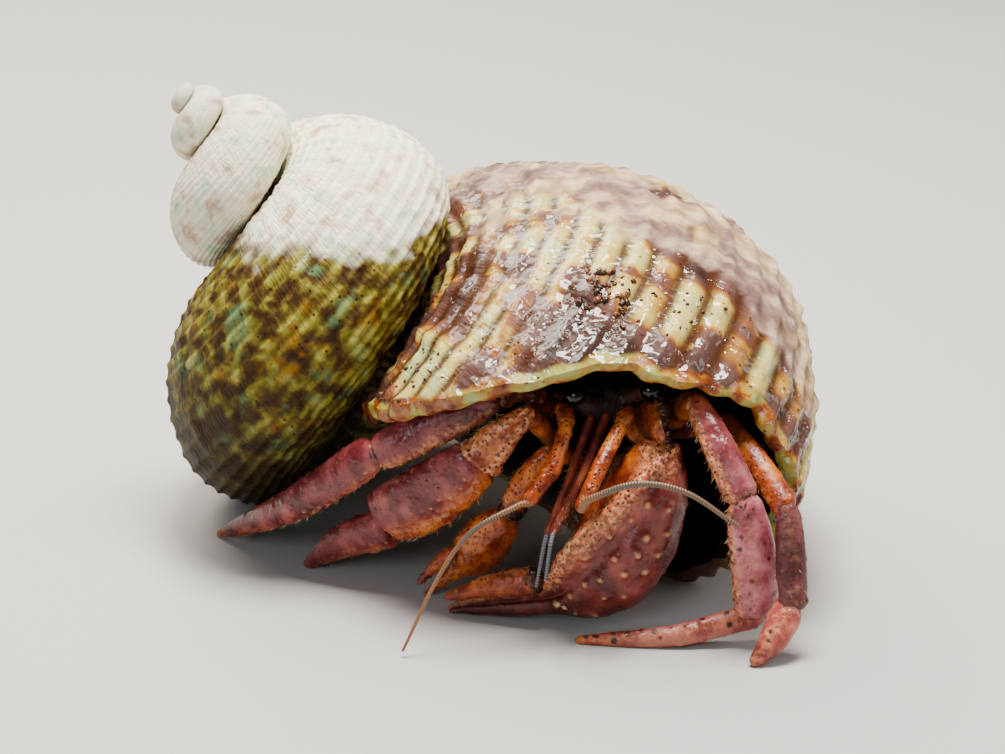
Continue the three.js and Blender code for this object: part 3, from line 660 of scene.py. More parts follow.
def plate(node, slot, cut, start_at=None, end_at=None, warm=0.1, warm_base=0.0, warm_tip=0.0,
          warm_edge=0.0, glow=(), bands=(), dots=0.25, granules=0, knobs=None, ridges=(), flecks=(),
          mud_end=0.0, mud_start=0.0, band_base=0.0, floor_shade=0.25, shade=0.0, shade_base=0.0,
          rosy=0.0, rim=0.05, neck=0.25, swell=1.0, row_step=ROW_STEP, seed=1):
    """Builds one plate. Along it runs from 0 to 1; round it an angle of 0 faces the camera and a
    quarter turn points to the side. Its middle line is bent to start and end at the joints.
    bands and glow are (start, end, half width, strength), ridges (start, end, half width, height),
    flecks (angle, count, size), and knobs (lowest and highest along, lowest and highest angle,
    tries, distance apart, size, height)."""
    random = np.random.default_rng(seed)
    length = cut["length"]
    cols = int(np.clip(cut["radii"].mean() * TURN / row_step, *COLUMNS))
    rows = int(np.clip(length / row_step, *ROWS))
    # Both ends are domes: rows crowd there, and the girth closes as a part of an oval.
    dome, lid = min(0.10, 0.35 / length), min(0.12, 0.30 / length)
    steps = np.linspace(0.15, 1.0, 7)[:-1] ** 2
    along = np.concatenate([dome * steps, np.linspace(dome, 1 - lid, rows), 1 - lid * steps[::-1]])
    start_in = np.clip(1 - along / dome, 0, 1)
    end_in = np.clip((along - 1 + lid) / lid, 0, 1)
    closing = (1 - start_in ** 2) ** 0.5 * (1 - end_in ** 2.6) ** (1 / 2.6)
    on = along[:, None] + np.zeros((1, cols))
    around = on * 0 + (np.arange(cols) * TURN / cols)[None, :]
    from_start, from_end = on * length, (1 - on) * length
    radius = swell * spread(cut["radii"], cut["share"], along, cols) * closing[:, None]
    # The near end narrows to a neck; the far end flares to a rolled rim with a groove behind it.
    radius = radius * (1 - neck * (1 - smooth_step(from_start, 0.0, 0.9)))
    radius = radius * (1 + rim * np.exp(-((from_end - 0.45) / 0.28) ** 2)
                       - 0.8 * rim * np.exp(-((from_end - 1.1) / 0.3) ** 2))
    for ridge in stripes(on, around, ridges):
        radius = radius + ridge * np.sin(np.pi * on) ** 0.5
    centre = np.stack([np.interp(along, cut["share"], cut["centres"][:, k]) for k in range(3)], -1)
    centre = centre + cut["heading"] * (cut["low"] + along * length - centre @ cut["heading"])[:, None]
    if start_at is not None:
        centre = centre + (start_at - centre[0]) * (1 - smooth_step(along, 0.0, 0.5))[:, None]
    if end_at is not None:
        centre = centre + (end_at - centre[-1]) * smooth_step(along, 0.5, 1.0)[:, None]
    ring = np.cos(around)[..., None] * cut["front"] + np.sin(around)[..., None] * cut["side"]
    grid = centre[:, None] + ring * radius[..., None]
    normals = row_normals(grid)
    base = band_base * (1 - smooth_step(on, 0.04, 0.16)) * (0.5 + 0.5 * np.cos(around - 0.8))
    band = np.maximum.reduce([0 * on, *stripes(on, around, bands), base])
    lift = 0.025 * ripples(grid, 1.6, seed) * cut["radii"].mean()
    knob = np.zeros_like(on)
    points = grid.reshape(-1, 3)
    if granules:
        spots = points[scattered(grid, band + 0.05, granules, random)]
        size = random.uniform(0.10, 0.20, len(spots))
        bumps, top = raise_bumps(grid, spots, size, size * 0.6)
        lift = lift + bumps
        knob = 0.30 * top * (band > 0.12)
    if knobs:
        near_end, far_end, low, high, tries, apart, width, height = knobs
        turned = (np.degrees(around) - low) % 360
        inside = (on > near_end) & (on < far_end) & (turned < high - low)
        spots = points[scattered(grid, inside + 0.0, tries, random, apart)]
        size = width * random.uniform(0.75, 1.2, len(spots))
        bumps, top = raise_bumps(grid, spots, size, height * random.uniform(0.6, 1.1, len(spots)))
        lift = lift + bumps
        knob = np.maximum(knob, 0.75 * smooth_step(top, 0.5, 1.0))
    fleck = np.zeros_like(on)
    for angle, count, size in flecks:
        at = (np.arange(count) + random.uniform(0.2, 0.8, count)) / count
        row = np.abs(along[:, None] - at).argmin(axis=0)
        col = ((angle + random.normal(0, 9, count)) / 360 * cols).round().astype(int) % cols
        size = size * random.uniform(0.5, 1.4, count)
        top = raise_bumps(grid, grid[row, col], size, np.zeros(count))[1]
        fleck = np.maximum(fleck, smooth_step(top, 0.35, 0.6))
    grid = above_floor(grid + normals * lift[..., None])
    # How warm and muddy each point is, and how dark with painted shade.
    warmth = (warm + warm_base * (1 - smooth_step(on, 0.0, 0.45)) + warm_tip * smooth_step(on, 0.6, 1.0)
              + warm_edge * np.maximum(-np.sin(around), 0) ** 2)
    for light in stripes(on, around, glow):
        warmth = warmth + light
    wander = 0.5 * ripples(grid, 0.9, seed + 9)
    mud = smooth_step(wander - from_end, -1.1 * mud_end, -0.4 * mud_end) if mud_end else 0 * on
    mud = mud + mud_start * smooth_step(wander - from_start, -1.6, -0.8)
    # Painted shade: over the whole plate, on its near end, and towards the floor, below about 5 mm.
    dark = np.maximum(shade, shade_base * (1 - smooth_step(on, 0.0, 0.6)))
    dark = np.maximum(dark, floor_shade * smooth_step(5.0 + wander - grid[..., 2], 0.0, 5.0))
    piece = closed_piece(f"{node}_cuticle", grid, finish_cuticle, slot, {
        "warm": warmth, "band": band, "dots": np.clip(dots + band, 0, 1), "knob": knob,
        "mud": np.clip(mud, 0, 1), "fleck": fleck, "shade": dark, "rosy": rosy + 0 * on})
    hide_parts(node)
    plates[node] = {"grid": grid, "normals": row_normals(grid), "along": on, "around": around,
                    "heading": cut["heading"], "number": len(plates), "length": length}


def plate_chain(names, slot, looks, near, shifts=None):
    """Builds the plates of a limb from the body outwards. Neighbours meet halfway between their
    CAD solids, each tucked a little into the one before. shifts moves a joint, by its place."""
    cuts = []
    for name in names:
        cuts.append(cad_sections(name, near))
        near = cuts[-1]["centres"][-1]
    meets = [(a["centres"][-1] + b["centres"][0]) / 2 for a, b in zip(cuts[:-1], cuts[1:])]
    meets.append(cuts[-1]["centres"][-1])
    for place, shift in (shifts or {}).items():
        meets[place] = meets[place] + shift
    for place, (name, cut) in enumerate(zip(names, cuts)):
        start = meets[place - 1] - cut["heading"] * TUCK if place else None
        plate(name, slot, cut, start, meets[place], seed=next(seeds), **looks[place])
    for a, b, meet in zip(cuts[:-1], cuts[1:], meets):
        joints.append((meet, unit(a["heading"] + b["heading"]),
                       min(a["radii"][-6:-3].mean(), b["radii"][3:6].mean())))
    return cuts


TRUNK = np.array(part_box("chest")).mean(axis=0) / MM
seeds = iter(range(21, 100))
LEG_LENGTHS = ("merus", "carpus", "propodus", "dactyl")
# In these looks shade_base paints shade on each limb's near end, where it comes out from under the shell, and
# shade paints shade over plates that lie in shadow.
LEGS = {
    "leg2_left": [
        dict(warm=0.7, dots=0.5, shade_base=0.8),
        dict(warm=-0.3, warm_base=0.9, warm_edge=0.1, rosy=0.35, shade=0.1, bands=[(72, 62, 34, 1.0)],
             granules=190, ridges=[(60, 55, 16, 0.22), (-40, -30, 25, 0.10)], dots=0.1),
        dict(warm=-0.4, rosy=1.0, bands=[(78, 70, 24, 0.9), (10, 20, 20, 0.35)], granules=130, dots=0.05,
             ridges=[(75, 70, 14, 0.16)], flecks=[(40, 9, 0.20), (75, 9, 0.18), (-60, 7, 0.16)]),
        dict(warm=0.3, warm_tip=0.7, rosy=0.9, bands=[(10, 10, 70, 0.55)], dots=-0.25, granules=30,
             flecks=[(66, 12, 0.24), (-8, 2, 0.24), (30, 5, 0.14)]),
    ],
    "leg3_left": [
        dict(warm=0.8, dots=0.4, shade_base=0.8),
        dict(warm=0.8, dots=0.5, shade=0.25, granules=30, bands=[(60, 60, 25, 0.35)]),
        dict(warm=-0.1, rosy=0.3, shade=0.5, bands=[(0, 0, 60, 0.35)], granules=40, dots=0.3),
        dict(warm=0.4, rosy=0.9, bands=[(20, 20, 80, 0.5)], dots=-0.2, granules=40, flecks=[(30, 4, 0.16)]),
    ],
    "leg2_right": [
        dict(warm=0.7, dots=0.4, shade_base=0.8),
        dict(warm=0.35, warm_edge=0.4, rim=0.10, bands=[(-60, -70, 50, 1.0), (30, 50, 30, 0.9)], granules=170,
             ridges=[(-55, -60, 18, 0.2)], dots=0.35),
        dict(warm=-0.1, rosy=0.2, warm_edge=1.0, bands=[(-70, -55, 22, 0.35), (80, 80, 26, 0.25)],
             granules=160, knobs=(0.08, 0.95, -95, -20, 90, 0.75, 0.20, 0.10),
             ridges=[(-75, -70, 18, 0.18), (25, 30, 30, -0.14)]),
        dict(warm=-0.1, rosy=0.2, warm_edge=0.4, bands=[(-70, -70, 20, 0.25)], granules=60,
             knobs=(0.05, 0.8, -90, -30, 30, 0.7, 0.16, 0.09)),
    ],
    "leg3_right": [
        dict(warm=0.6, dots=0.4, shade_base=0.8),
        dict(warm=0.4, dots=0.5, granules=40, bands=[(-60, -60, 30, 0.4)]),
        dict(warm=-0.2, rosy=0.2, warm_edge=0.6, rim=0.0, bands=[(-70, -70, 26, 0.45)], granules=120,
             knobs=(0.05, 0.98, -95, -45, 70, 0.8, 0.20, 0.10), ridges=[(-70, -75, 16, 0.16)]),
        dict(warm=-0.25, rosy=0.2, warm_tip=0.8, warm_edge=0.6, neck=0.0, bands=[(-70, -75, 22, 0.2)],
             granules=90, knobs=(0.02, 0.75, -95, -45, 90, 0.75, 0.18, 0.10), ridges=[(-72, -78, 16, 0.16)]),
    ],
}
for limb, looks in LEGS.items():
    plate_chain([f"{limb}_{length}" for length in LEG_LENGTHS], "leg", looks, TRUNK)

# shade_base and shade paint shade on the claws as on the legs, and the large hand gets stronger painted shade
# towards the floor.
CLAWS = {
    "left": [
        dict(warm=0.85, dots=0.6, shade_base=0.9, swell=1.15),
        dict(warm=0.55, dots=0.6, granules=90, bands=[(60, 50, 45, 0.25)], mud_end=2.2, shade=0.2,
             shade_base=0.7, swell=1.38),
        dict(warm=-0.25, warm_base=0.1, warm_tip=0.35, bands=[(14, 82, 17, 1.0)], band_base=0.9, dots=0.15,
             granules=420, knobs=(0.12, 0.66, -66, 40, 400, 1.35, 0.34, 0.32), floor_shade=0.5, neck=0.12,
             ridges=[(10, 80, 12, 0.85), (-16, 52, 15, -0.40), (40, 112, 18, -0.45)],
             glow=[(66, 130, 34, 1.3)], flecks=[(20, 9, 0.12), (-30, 8, 0.12)], row_step=0.10),
        dict(warm=0.45, warm_base=0.2, bands=[(60, 60, 30, 0.45)], granules=60, dots=0.4, mud_start=0.9),
    ],
    "right": [
        dict(warm=0.9, dots=0.6, shade_base=0.9, swell=1.2),
        dict(warm=0.85, dots=0.8, granules=70, bands=[(60, 60, 25, 0.3)], mud_end=1.6, swell=1.15),
        dict(warm=0.8, dots=0.6, granules=160, bands=[(40, 40, 50, 0.35)], warm_edge=0.4, floor_shade=0.3),
        dict(warm=0.6, dots=0.5, granules=20),
    ],
}
WRIST_SHIFT = {"left": {1: np.array([-0.7, 0.3, -0.5])}, "right": None}
for side, looks in CLAWS.items():
    names = [f"claw_{length}_{side}" for length in ("arm", "wrist", "hand")]
    cuts = plate_chain(names, "claw", looks[:3], TRUNK, WRIST_SHIFT[side])
    finger = f"claw_finger_{side}"
    plate(finger, "claw", cad_sections(finger, cuts[-1]["centres"][0]), seed=next(seeds), **looks[3])


# ---- Joint membranes ------------------------------------------------------------------------------
# Soft dark skin in the joints between plates, left unhardened so that it folds like a bellows.
finish_membrane, tree, surface, place = new_finish("joint membrane, soft wet chitin")
folds = add_node(tree, "TexNoise", {"Vector": place, "Scale": 1.6 * PER_MM, "Detail": 4.0})
skin = add_node(tree, "ValToRGB", {0: folds}, stops=[(0.35, "#1a0905"), (0.52, "#3d170b"), (0.68, "#6e3417")])
relief = add_node(tree, "Bump", {"Strength": 0.6, "Distance": 0.1 * MM, "Height": folds})
body = add_node(tree, "BsdfPrincipled", {"Base Color": skin, "Roughness": 0.35, "Normal": relief, "IOR": 1.4})
tree.links.new(body, surface)
MEMBRANE_REACH = 0.72               # each way from the joint, in mm
MEMBRANE_ROWS, MEMBRANE_COLUMNS = 18, 28


def joined(parts):
    """Several meshes, each its points and faces, as one."""
    points, faces, count = [], [], 0
    for part_points, part_faces in parts:
        points.append(part_points)
        faces += [[corner + count for corner in face] for face in part_faces]
        count += len(part_points)
    return np.concatenate(points), faces


share = np.linspace(-1, 1, MEMBRANE_ROWS)[:, None]
turn = (np.arange(MEMBRANE_COLUMNS) * TURN / MEMBRANE_COLUMNS)[None, :]
membranes = []
for middle, heading, radius in joints:
    front, side_way = across_from(heading)
    girth = radius * (0.56 + 0.07 * np.cos(share * 14 + 0.8 * np.sin(turn * 2))) * (1 - 0.25 * share ** 8)
    grid = (middle + heading * (share * MEMBRANE_REACH)[..., None]
            + (np.cos(turn)[..., None] * front + np.sin(turn)[..., None] * side_way) * girth[..., None])
    membranes.append(grid_mesh(grid, start_pole=True, end_pole=True)[:2])
new_piece("joint_membranes", *joined(membranes), finish_membrane, "soft_skin")


# ---- Shield, chest and the soft back ---------------------------------------------------------------
# The shield is the one hard plate of the back; behind it a soft wrinkled skin runs on, coiled
# inside the shell, down to the small hard tail fan that grips the spire.
# The shield and chest are painted nearly black with shade, as they lie under the shell's lip.
plate("shield", "plate", cad_sections("shield", TRUNK + [0, 0, -20]), warm=0.1, dots=0.5, shade=0.95,
      neck=0.0, rim=0.0, row_step=0.25, granules=120, bands=[(0, 0, 90, 0.3)], seed=71)
plate("chest", "plate", cad_sections("chest", TRUNK), warm=0.3, dots=0.3, shade=0.9, neck=0.0, rim=0.0,
      row_step=0.2, seed=72)
# The hind legs and the tail fan, inside the shell, carry painted shade.
HIND_LIMBS = {"leg4_left": 81, "leg4_right": 82, "leg5_left": 83, "leg5_right": 84}
for node, number in HIND_LIMBS.items():
    plate(node, "leg", cad_sections(node, TRUNK), warm=0.5, dots=0.5, shade=0.45, granules=40,
          bands=[(0, 0, 60, 0.6)], seed=number)
plate("tail_fan", "plate", cad_sections("tail_fan", TRUNK), warm=0.4, dots=0.4, shade=0.3, granules=80,
      bands=[(0, 0, 60, 0.5)], seed=85)

finish_skin, tree, surface, place = new_finish("soft wet skin of the belly")
mottle = add_node(tree, "TexNoise", {"Vector": place, "Scale": 0.5 * PER_MM, "Detail": 5.0})
skin = add_node(tree, "ValToRGB", {0: mottle}, stops=[
    (0.34, "#3a140c"), (0.50, "#7a3a26"), (0.66, "#b06a4a")])
relief = add_node(tree, "Bump", {"Strength": 0.5, "Distance": 0.2 * MM, "Height": mottle})
body = add_node(tree, "BsdfPrincipled", {"Base Color": skin, "Roughness": 0.4, "Normal": relief, "IOR": 1.4})
tree.links.new(body, surface)

FLESH = ("back", "abdomen_front", "abdomen_middle", "abdomen_end")
FLESH_ROWS, FLESH_COLUMNS = 240, 120
FLESH_CUTS = 14                     # across each of its solids; the two next to each end aren't used
FLESH_GIRTH = 0.97                  # of the solids'
ENDS_FROM, ENDS_OVER = 0.94, 0.061  # of half the length: where an end starts to close, and over what


def smooth_path(points, count, rounds=3):
    """A path through about the same places with its corners cut by quarters again and again,
    then points at even distances along it."""
    points = np.asarray(points, float)
    for _ in range(rounds):
        near, far = points[:-1], points[1:]
        cut = np.stack([0.75 * near + 0.25 * far, 0.25 * near + 0.75 * far], 1)
        points = np.concatenate([points[:1], cut.reshape(-1, 3), points[-1:]])
    length = np.concatenate([[0], np.cumsum(np.linalg.norm(np.diff(points, axis=0), axis=1))])
    at = np.linspace(0, length[-1], count)
    return np.stack([np.interp(at, length, points[:, k]) for k in range(3)], -1)


def tube(path, radius, cols):
    """A round tube along a path: at each point a ring across the path, its first point on the
    side that faces the camera."""
    front, side_way = across_from(unit(np.gradient(path, axis=0)))
    turn = (np.arange(cols) * TURN / cols)[None, :, None]
    ring = np.cos(turn) * front[:, None] + np.sin(turn) * side_way[:, None]
    return path[:, None] + ring * radius[..., None]


near, course, girths = TRUNK, [], []
for node in FLESH:
    cut = cad_sections(node, near, FLESH_CUTS)
    near = cut["centres"][-1]
    course.append(cut["centres"][2:-2])
    girths.append(cut["radii"].mean(axis=1)[2:-2])
girths = eased(np.concatenate(girths), 3)
share = np.linspace(0, 1, FLESH_ROWS)
radius = np.interp(share, np.linspace(0, 1, len(girths)), girths)[:, None]
share = share[:, None]
turn = (np.arange(FLESH_COLUMNS) * TURN / FLESH_COLUMNS)[None, :]
wrinkles = 0.012 * np.sin(share * 260 + 2 * np.sin(turn * 3)) + 0.02 * np.sin(share * 70 + turn)
past = np.maximum(np.abs(2 * share - 1) - ENDS_FROM, 0)
closing = np.sqrt(np.clip(1 - past ** 2 / ENDS_OVER ** 2, 0.01, 1))
path = smooth_path(np.concatenate(course), FLESH_ROWS)
grid = tube(path, radius * FLESH_GIRTH * closing * (1 + wrinkles), FLESH_COLUMNS)
flesh = closed_piece("soft_back_and_belly", grid, finish_skin, "soft_skin")
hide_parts(*FLESH)


# ---- Eyes ----------------------------------------------------------------------------------------
# Black faceted eyes on short movable stalks, wet and shiny as glass beads; each cornea wraps
# over the end of its stalk.
finish_eye, tree, surface, place = new_finish("cornea, wet and black")
black = add_node(tree, "TexNoise", {"Vector": place, "Scale": 1.2 * PER_MM, "Detail": 2.0})
black = add_node(tree, "ValToRGB", {0: black}, stops=[(0.35, "#020202"), (0.7, "#140a08")])
body = add_node(tree, "BsdfPrincipled", {"Base Color": black, "Roughness": 0.04, "IOR": 1.4})
tree.links.new(body, surface)
lift = np.linspace(0.02, np.pi - 0.02, 40)[:, None]
turn = (np.arange(64) * TURN / 64)[None, :]
BALL = np.stack([np.sin(lift) * np.cos(turn), np.sin(lift) * np.sin(turn), np.cos(lift) + 0 * turn], -1)
for side in ("left", "right"):
    low, high = np.array(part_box(f"eye_{side}")) / MM
    middle, half = (low + high) / 2, (high - low) / 2
    cornea = closed_piece(f"eye_{side}_cornea", middle + half * BALL, finish_eye, "eye")
    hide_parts(f"eye_{side}")
    # The stalks are painted dark with shade, as they sit under the shell's lip.
    plate(f"eyestalk_{side}", "plate", cad_sections(f"eyestalk_{side}", TRUNK), end_at=middle, warm=0.4,
          dots=0.6, shade=0.88, neck=0.0, rim=0.03, granules=16, row_step=0.08, bands=[(0, 0, 40, 0.3)],
          seed=91)


# ---- Antennae ---------------------------------------------------------------------------------------
# A stout orange stem of hard lengths with dark pits, then a long whip of hundreds of short
# rings, brown and paler by turns.
# shade paints shade on the stems, more on their bases under the shell's lip.
SHAFT_LOOK = dict(warm=0.95, dots=0.9, shade=0.2, rim=0.06, granules=20, row_step=0.07, warm_edge=0.1)
SHAFT_SHIFT = {"left": {1: np.array([-0.35, -0.1, -0.75])}, "right": {1: np.array([-0.3, 0.0, -0.3])}}
shaft_ends = {}
for side in ("left", "right"):
    names = [f"antenna_base_{side}", f"antenna_shaft_{side}"]
    plate_chain(names, "feeler", [dict(SHAFT_LOOK, shade=0.45), SHAFT_LOOK], TRUNK, SHAFT_SHIFT[side])
    shaft_ends[side] = plates[names[1]]["grid"][-5].mean(axis=0)

finish_whip, tree, surface, place = new_finish("flagellum, ringed chitin")
ring, tip, blue = (add_node(tree, "Attribute", out="Fac", attribute_name=name)
                   for name in ("ring", "tip", "blue"))
RING_COLOURS = {"near": ("#45362a", "#665446"), "far": ("#6b4024", "#966640"), "blue": ("#2e2c33", "#6e6f79")}
near, far, cold = (add_node(tree, "Mix", {0: ring, 6: gap, 7: top}, **IN_COLOUR)
                   for gap, top in RING_COLOURS.values())
colour = add_node(tree, "Mix", {0: tip, 6: near, 7: far}, **IN_COLOUR)
colour = add_node(tree, "Mix", {0: blue, 6: colour, 7: cold}, **IN_COLOUR)
body = add_node(tree, "BsdfPrincipled", {"Base Color": colour, "Roughness": 0.38, "IOR": 1.5})
tree.links.new(body, surface)
WHIP_COLUMNS, RING_ROWS = 12, 6


def whip(node, path, thick, thin, ring_length, blue_share, brown_tip=0.0):
    """A ringed whip that tapers from thick to thin, in mm. Every ring swells in its middle."""
    count = int(np.linalg.norm(np.diff(path, axis=0), axis=1).sum() / ring_length)
    path = smooth_path(path, count * RING_ROWS)
    share = np.linspace(0, 1, len(path))[:, None] + np.zeros(WHIP_COLUMNS)
    swell = 0.5 - 0.5 * np.cos(share * count * TURN)
    radius = (thick + (thin - thick) * share) * (0.93 + 0.11 * swell)
    values = {"ring": smooth_step(swell, 0.15, 0.7), "blue": blue_share + 0 * share,
              "tip": np.maximum(brown_tip * smooth_step(share, 0.3, 0.6), 1 - smooth_step(share, 0.02, 0.3))}
    piece = closed_piece(f"{node}_rings", tube(path, radius, WHIP_COLUMNS), finish_whip, "flagellum", values)
    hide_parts(node)


WHIPS = {"left": (0.29, 0.16, 0.25), "right": (0.23, 0.11, 1.0)}
for side, (thick, thin, brown_tip) in WHIPS.items():
    course = cad_sections(f"antenna_whip_{side}", shaft_ends[side], 20)["centres"]
    toward = course[0] - shaft_ends[side]
    path = np.concatenate([[shaft_ends[side], shaft_ends[side] + 0.15 * toward], course])
    whip(f"antenna_whip_{side}", path, thick, thin, 0.21, 0.0, brown_tip)


# ---- Antennules ---------------------------------------------------------------------------------
# Thinner folded feelers between the antennae, red brown, each with a blue grey ringed tip
# that smells the air.
ANTENNULE_SHIFT = {"left": np.array([-0.55, 0.0, -0.2]), "right": np.zeros(3)}
for side, shift in ANTENNULE_SHIFT.items():
    cut = cad_sections(f"antennule_{side}", TRUNK)
    end = cut["centres"][-1] + shift
    # The antennules get a little painted shade.
    plate(f"antennule_{side}", "feeler", cut, end_at=end, warm=0.25, dots=0.1, shade=0.25, neck=0.0,
          rim=0.08, row_step=0.08, swell=0.8, seed=95)
    course = cad_sections(f"antennule_tip_{side}", end, 10)["centres"] + 0.8 * shift
    whip(f"antennule_tip_{side}", np.concatenate([[end], course]), 0.17, 0.10, 0.2, 1.0)


# ---- Mouthparts ---------------------------------------------------------------------------------
# The outer pair of jaw legs, folded down between the claws, orange brown with combs of setae.
for side in ("left", "right"):
    # The jaw legs get painted shade, as they lie deep between the claws.
    plate(f"maxilliped_{side}", "mouthparts", cad_sections(f"maxilliped_{side}", TRUNK), warm=0.6, dots=0.5,
          shade=0.5, row_step=0.09, granules=20, seed=97)


# ---- Setae ----------------------------------------------------------------------------------------
# Stiff bristles of the cuticle: combs along the edges of the plates, dark tufts at the joints
# and a thin scatter over the rest. Each is a curved cone rooted in its plate.
finish_setae, tree, surface, place = new_finish("setae, stiff chitin bristles")
hair = add_node(tree, "Attribute", out="Fac", attribute_name="tone")
hair = add_node(tree, "ValToRGB", {0: hair}, stops=[
    (0.0, "#1a0a05"), (0.45, "#5e3016"), (0.75, "#b98a56"), (1.0, "#e6cfa6")])
body = add_node(tree, "BsdfPrincipled", {"Base Color": hair, "Roughness": 0.35, "IOR": 1.55})
tree.links.new(body, surface)
SIDES = 4                           # of a seta
LEVELS = np.array([0.0, 0.4, 0.75])             # its rings, as shares of its length; its tip is at 1
TO_TIP = np.append(np.repeat(LEVELS, SIDES), 1.0)   # the same for each of its points
THINNED = 0.75                      # how much thinner it would be at its tip
SUNK = 0.05                         # how deep its root lies in the plate, in mm
PATCH = 0.003                       # its size on the bake map
ATLAS, ATLAS_EDGE = 8, 0.03         # plates to a side of that map, and the edge left round each
setae = []                          # points, tones and map places of each plate's setae


def grow_setae(node, weight, count, length, thick, lean, tones, seed):
    """Grows setae on a plate where weight is high. Each stands on the plate, leans towards its far
    end by lean, and bends over a little; its lengths vary by a third."""
    host = plates[node]
    random = np.random.default_rng(seed)
    index = scattered(host["grid"], weight(host["along"], host["around"]), count, random)
    root, normal = host["grid"].reshape(-1, 3)[index], host["normals"].reshape(-1, 3)[index]
    forward = unit(host["heading"] - normal * (normal @ host["heading"])[:, None])
    growth = unit(normal + forward * lean + 0.25 * random.normal(size=root.shape))
    reach = length * random.uniform(0.6, 1.25, count)[:, None]
    droop = forward * 0.45 - normal * 0.15 + 0.25 * random.normal(size=root.shape)
    across = unit(np.cross(growth, random.normal(size=root.shape)))
    other = np.cross(growth, across)
    level = np.append(LEVELS, 1.0)[None, :, None]
    course = growth[:, None] * level + droop[:, None] * level ** 2 * 0.5
    spine = root[:, None] - growth[:, None] * SUNK + course * reach[:, None]
    turn = (np.arange(SIDES) * TURN / SIDES)[None, None, :, None]
    ring = across[:, None, None] * np.cos(turn) + other[:, None, None] * np.sin(turn)
    rings = spine[:, :-1, None] + ring * (thick * (1 - THINNED * LEVELS))[None, :, None, None]
    points = np.concatenate([rings.reshape(count, -1, 3), spine[:, -1:]], axis=1)
    tone = np.clip(random.uniform(*tones, count)[:, None] + TO_TIP * 0.15, 0, 1)
    cell = np.array([host["number"] % ATLAS, host["number"] // ATLAS])
    spot = np.stack([host["along"].ravel()[index], host["around"].ravel()[index] / TURN], -1)
    setae.append((points, tone, (cell + ATLAS_EDGE + (1 - 2 * ATLAS_EDGE) * spot) / ATLAS))


def edge(angle, half_width, low=0.0, high=1.0):
    """A weight that is high along a line of the plate at one angle, between two shares of it."""
    return lambda along, around: (stripe(along, around, angle, angle, half_width)
                                  * ((along > low) & (along < high)))


def far_end(mm, node):
    """A weight that is high round the far end of the plate."""
    return lambda along, around: np.exp(-((1 - along) * plates[node]["length"] / mm) ** 2)


def all_over(along, around):
    """The same weight all over the plate."""
    return np.ones_like(along)


SETAE = [                           # node, weight, count, length, thickness, lean, tone from and to
    ("claw_hand_left", edge(86, 6, 0.10, 0.80), 170, 0.55, 0.022, 0.4, (0.1, 0.5)),
    ("claw_hand_left", all_over, 260, 0.30, 0.018, 0.8, (0.1, 0.5)),
    ("claw_wrist_left", far_end(0.9, "claw_wrist_left"), 130, 0.7, 0.030, 0.9, (0.0, 0.12)),
    ("claw_wrist_left", all_over, 140, 0.4, 0.018, 0.8, (0.2, 0.8)),
    ("claw_finger_left", all_over, 130, 0.4, 0.018, 0.9, (0.0, 0.4)),
    ("claw_wrist_right", far_end(0.8, "claw_wrist_right"), 90, 0.6, 0.028, 0.9, (0.0, 0.2)),
    ("claw_wrist_right", all_over, 90, 0.4, 0.018, 0.8, (0.2, 0.8)),
    ("claw_hand_right", all_over, 200, 0.45, 0.018, 0.9, (0.1, 0.7)),
    ("claw_finger_right", all_over, 60, 0.4, 0.018, 0.9, (0.0, 0.5)),
    ("leg2_left_carpus", edge(86, 12, 0.12, 1.0), 40, 0.50, 0.026, 0.6, (0.5, 1.0)),
    ("leg2_left_carpus", all_over, 120, 0.28, 0.016, 0.9, (0.2, 0.7)),
    ("leg2_left_carpus", far_end(0.5, "leg2_left_carpus"), 60, 0.5, 0.020, 0.8, (0.0, 0.5)),
    ("leg2_left_propodus", edge(84, 14, 0.0, 0.8), 34, 0.42, 0.024, 0.7, (0.5, 1.0)),
    ("leg2_left_propodus", all_over, 100, 0.28, 0.016, 0.9, (0.2, 0.7)),
    ("leg2_left_dactyl", all_over, 110, 0.35, 0.018, 1.0, (0.2, 0.7)),
    ("leg3_left_carpus", all_over, 70, 0.4, 0.018, 0.9, (0.3, 0.9)),
    ("leg3_left_propodus", all_over, 60, 0.3, 0.016, 0.9, (0.3, 0.9)),
    ("leg3_left_dactyl", all_over, 60, 0.35, 0.018, 0.9, (0.2, 0.7)),
    ("leg2_right_carpus", edge(80, 14, 0.2, 1.0), 36, 0.45, 0.024, 0.7, (0.4, 1.0)),
    ("leg2_right_carpus", all_over, 120, 0.28, 0.016, 0.9, (0.2, 0.8)),
    ("leg2_right_propodus", edge(-84, 16), 60, 0.42, 0.022, 0.8, (0.3, 1.0)),
    ("leg2_right_propodus", all_over, 140, 0.28, 0.016, 0.9, (0.2, 0.7)),
    ("leg2_right_dactyl", all_over, 110, 0.4, 0.018, 1.0, (0.1, 0.6)),
    ("leg3_right_propodus", edge(-80, 20), 90, 0.45, 0.020, 0.8, (0.3, 1.0)),
    ("leg3_right_dactyl", edge(-80, 20), 120, 0.45, 0.020, 0.9, (0.3, 1.0)),
    ("leg3_right_dactyl", all_over, 100, 0.3, 0.018, 1.0, (0.2, 0.7)),
    *((f"maxilliped_{side}", all_over, 160, 0.9, 0.022, 0.9, (0.3, 0.9)) for side in ("left", "right")),
    ("antennule_left", edge(0, 60, 0.6, 1.0), 40, 0.4, 0.014, 0.9, (0.4, 0.9)),
    *((f"eyestalk_{side}", all_over, 24, 0.3, 0.016, 0.6, (0.1, 0.4)) for side in ("left", "right")),
    ("shield", all_over, 120, 0.5, 0.02, 0.8, (0.1, 0.5)),
    *((f"leg4_{side}", all_over, 40, 0.5, 0.02, 0.8, (0.2, 0.7)) for side in ("left", "right")),
]
for number, growth in enumerate(SETAE):
    grow_setae(*growth, 300 + number)
points, tones, maps = (np.concatenate(each) for each in zip(*setae))
points = above_floor(points)
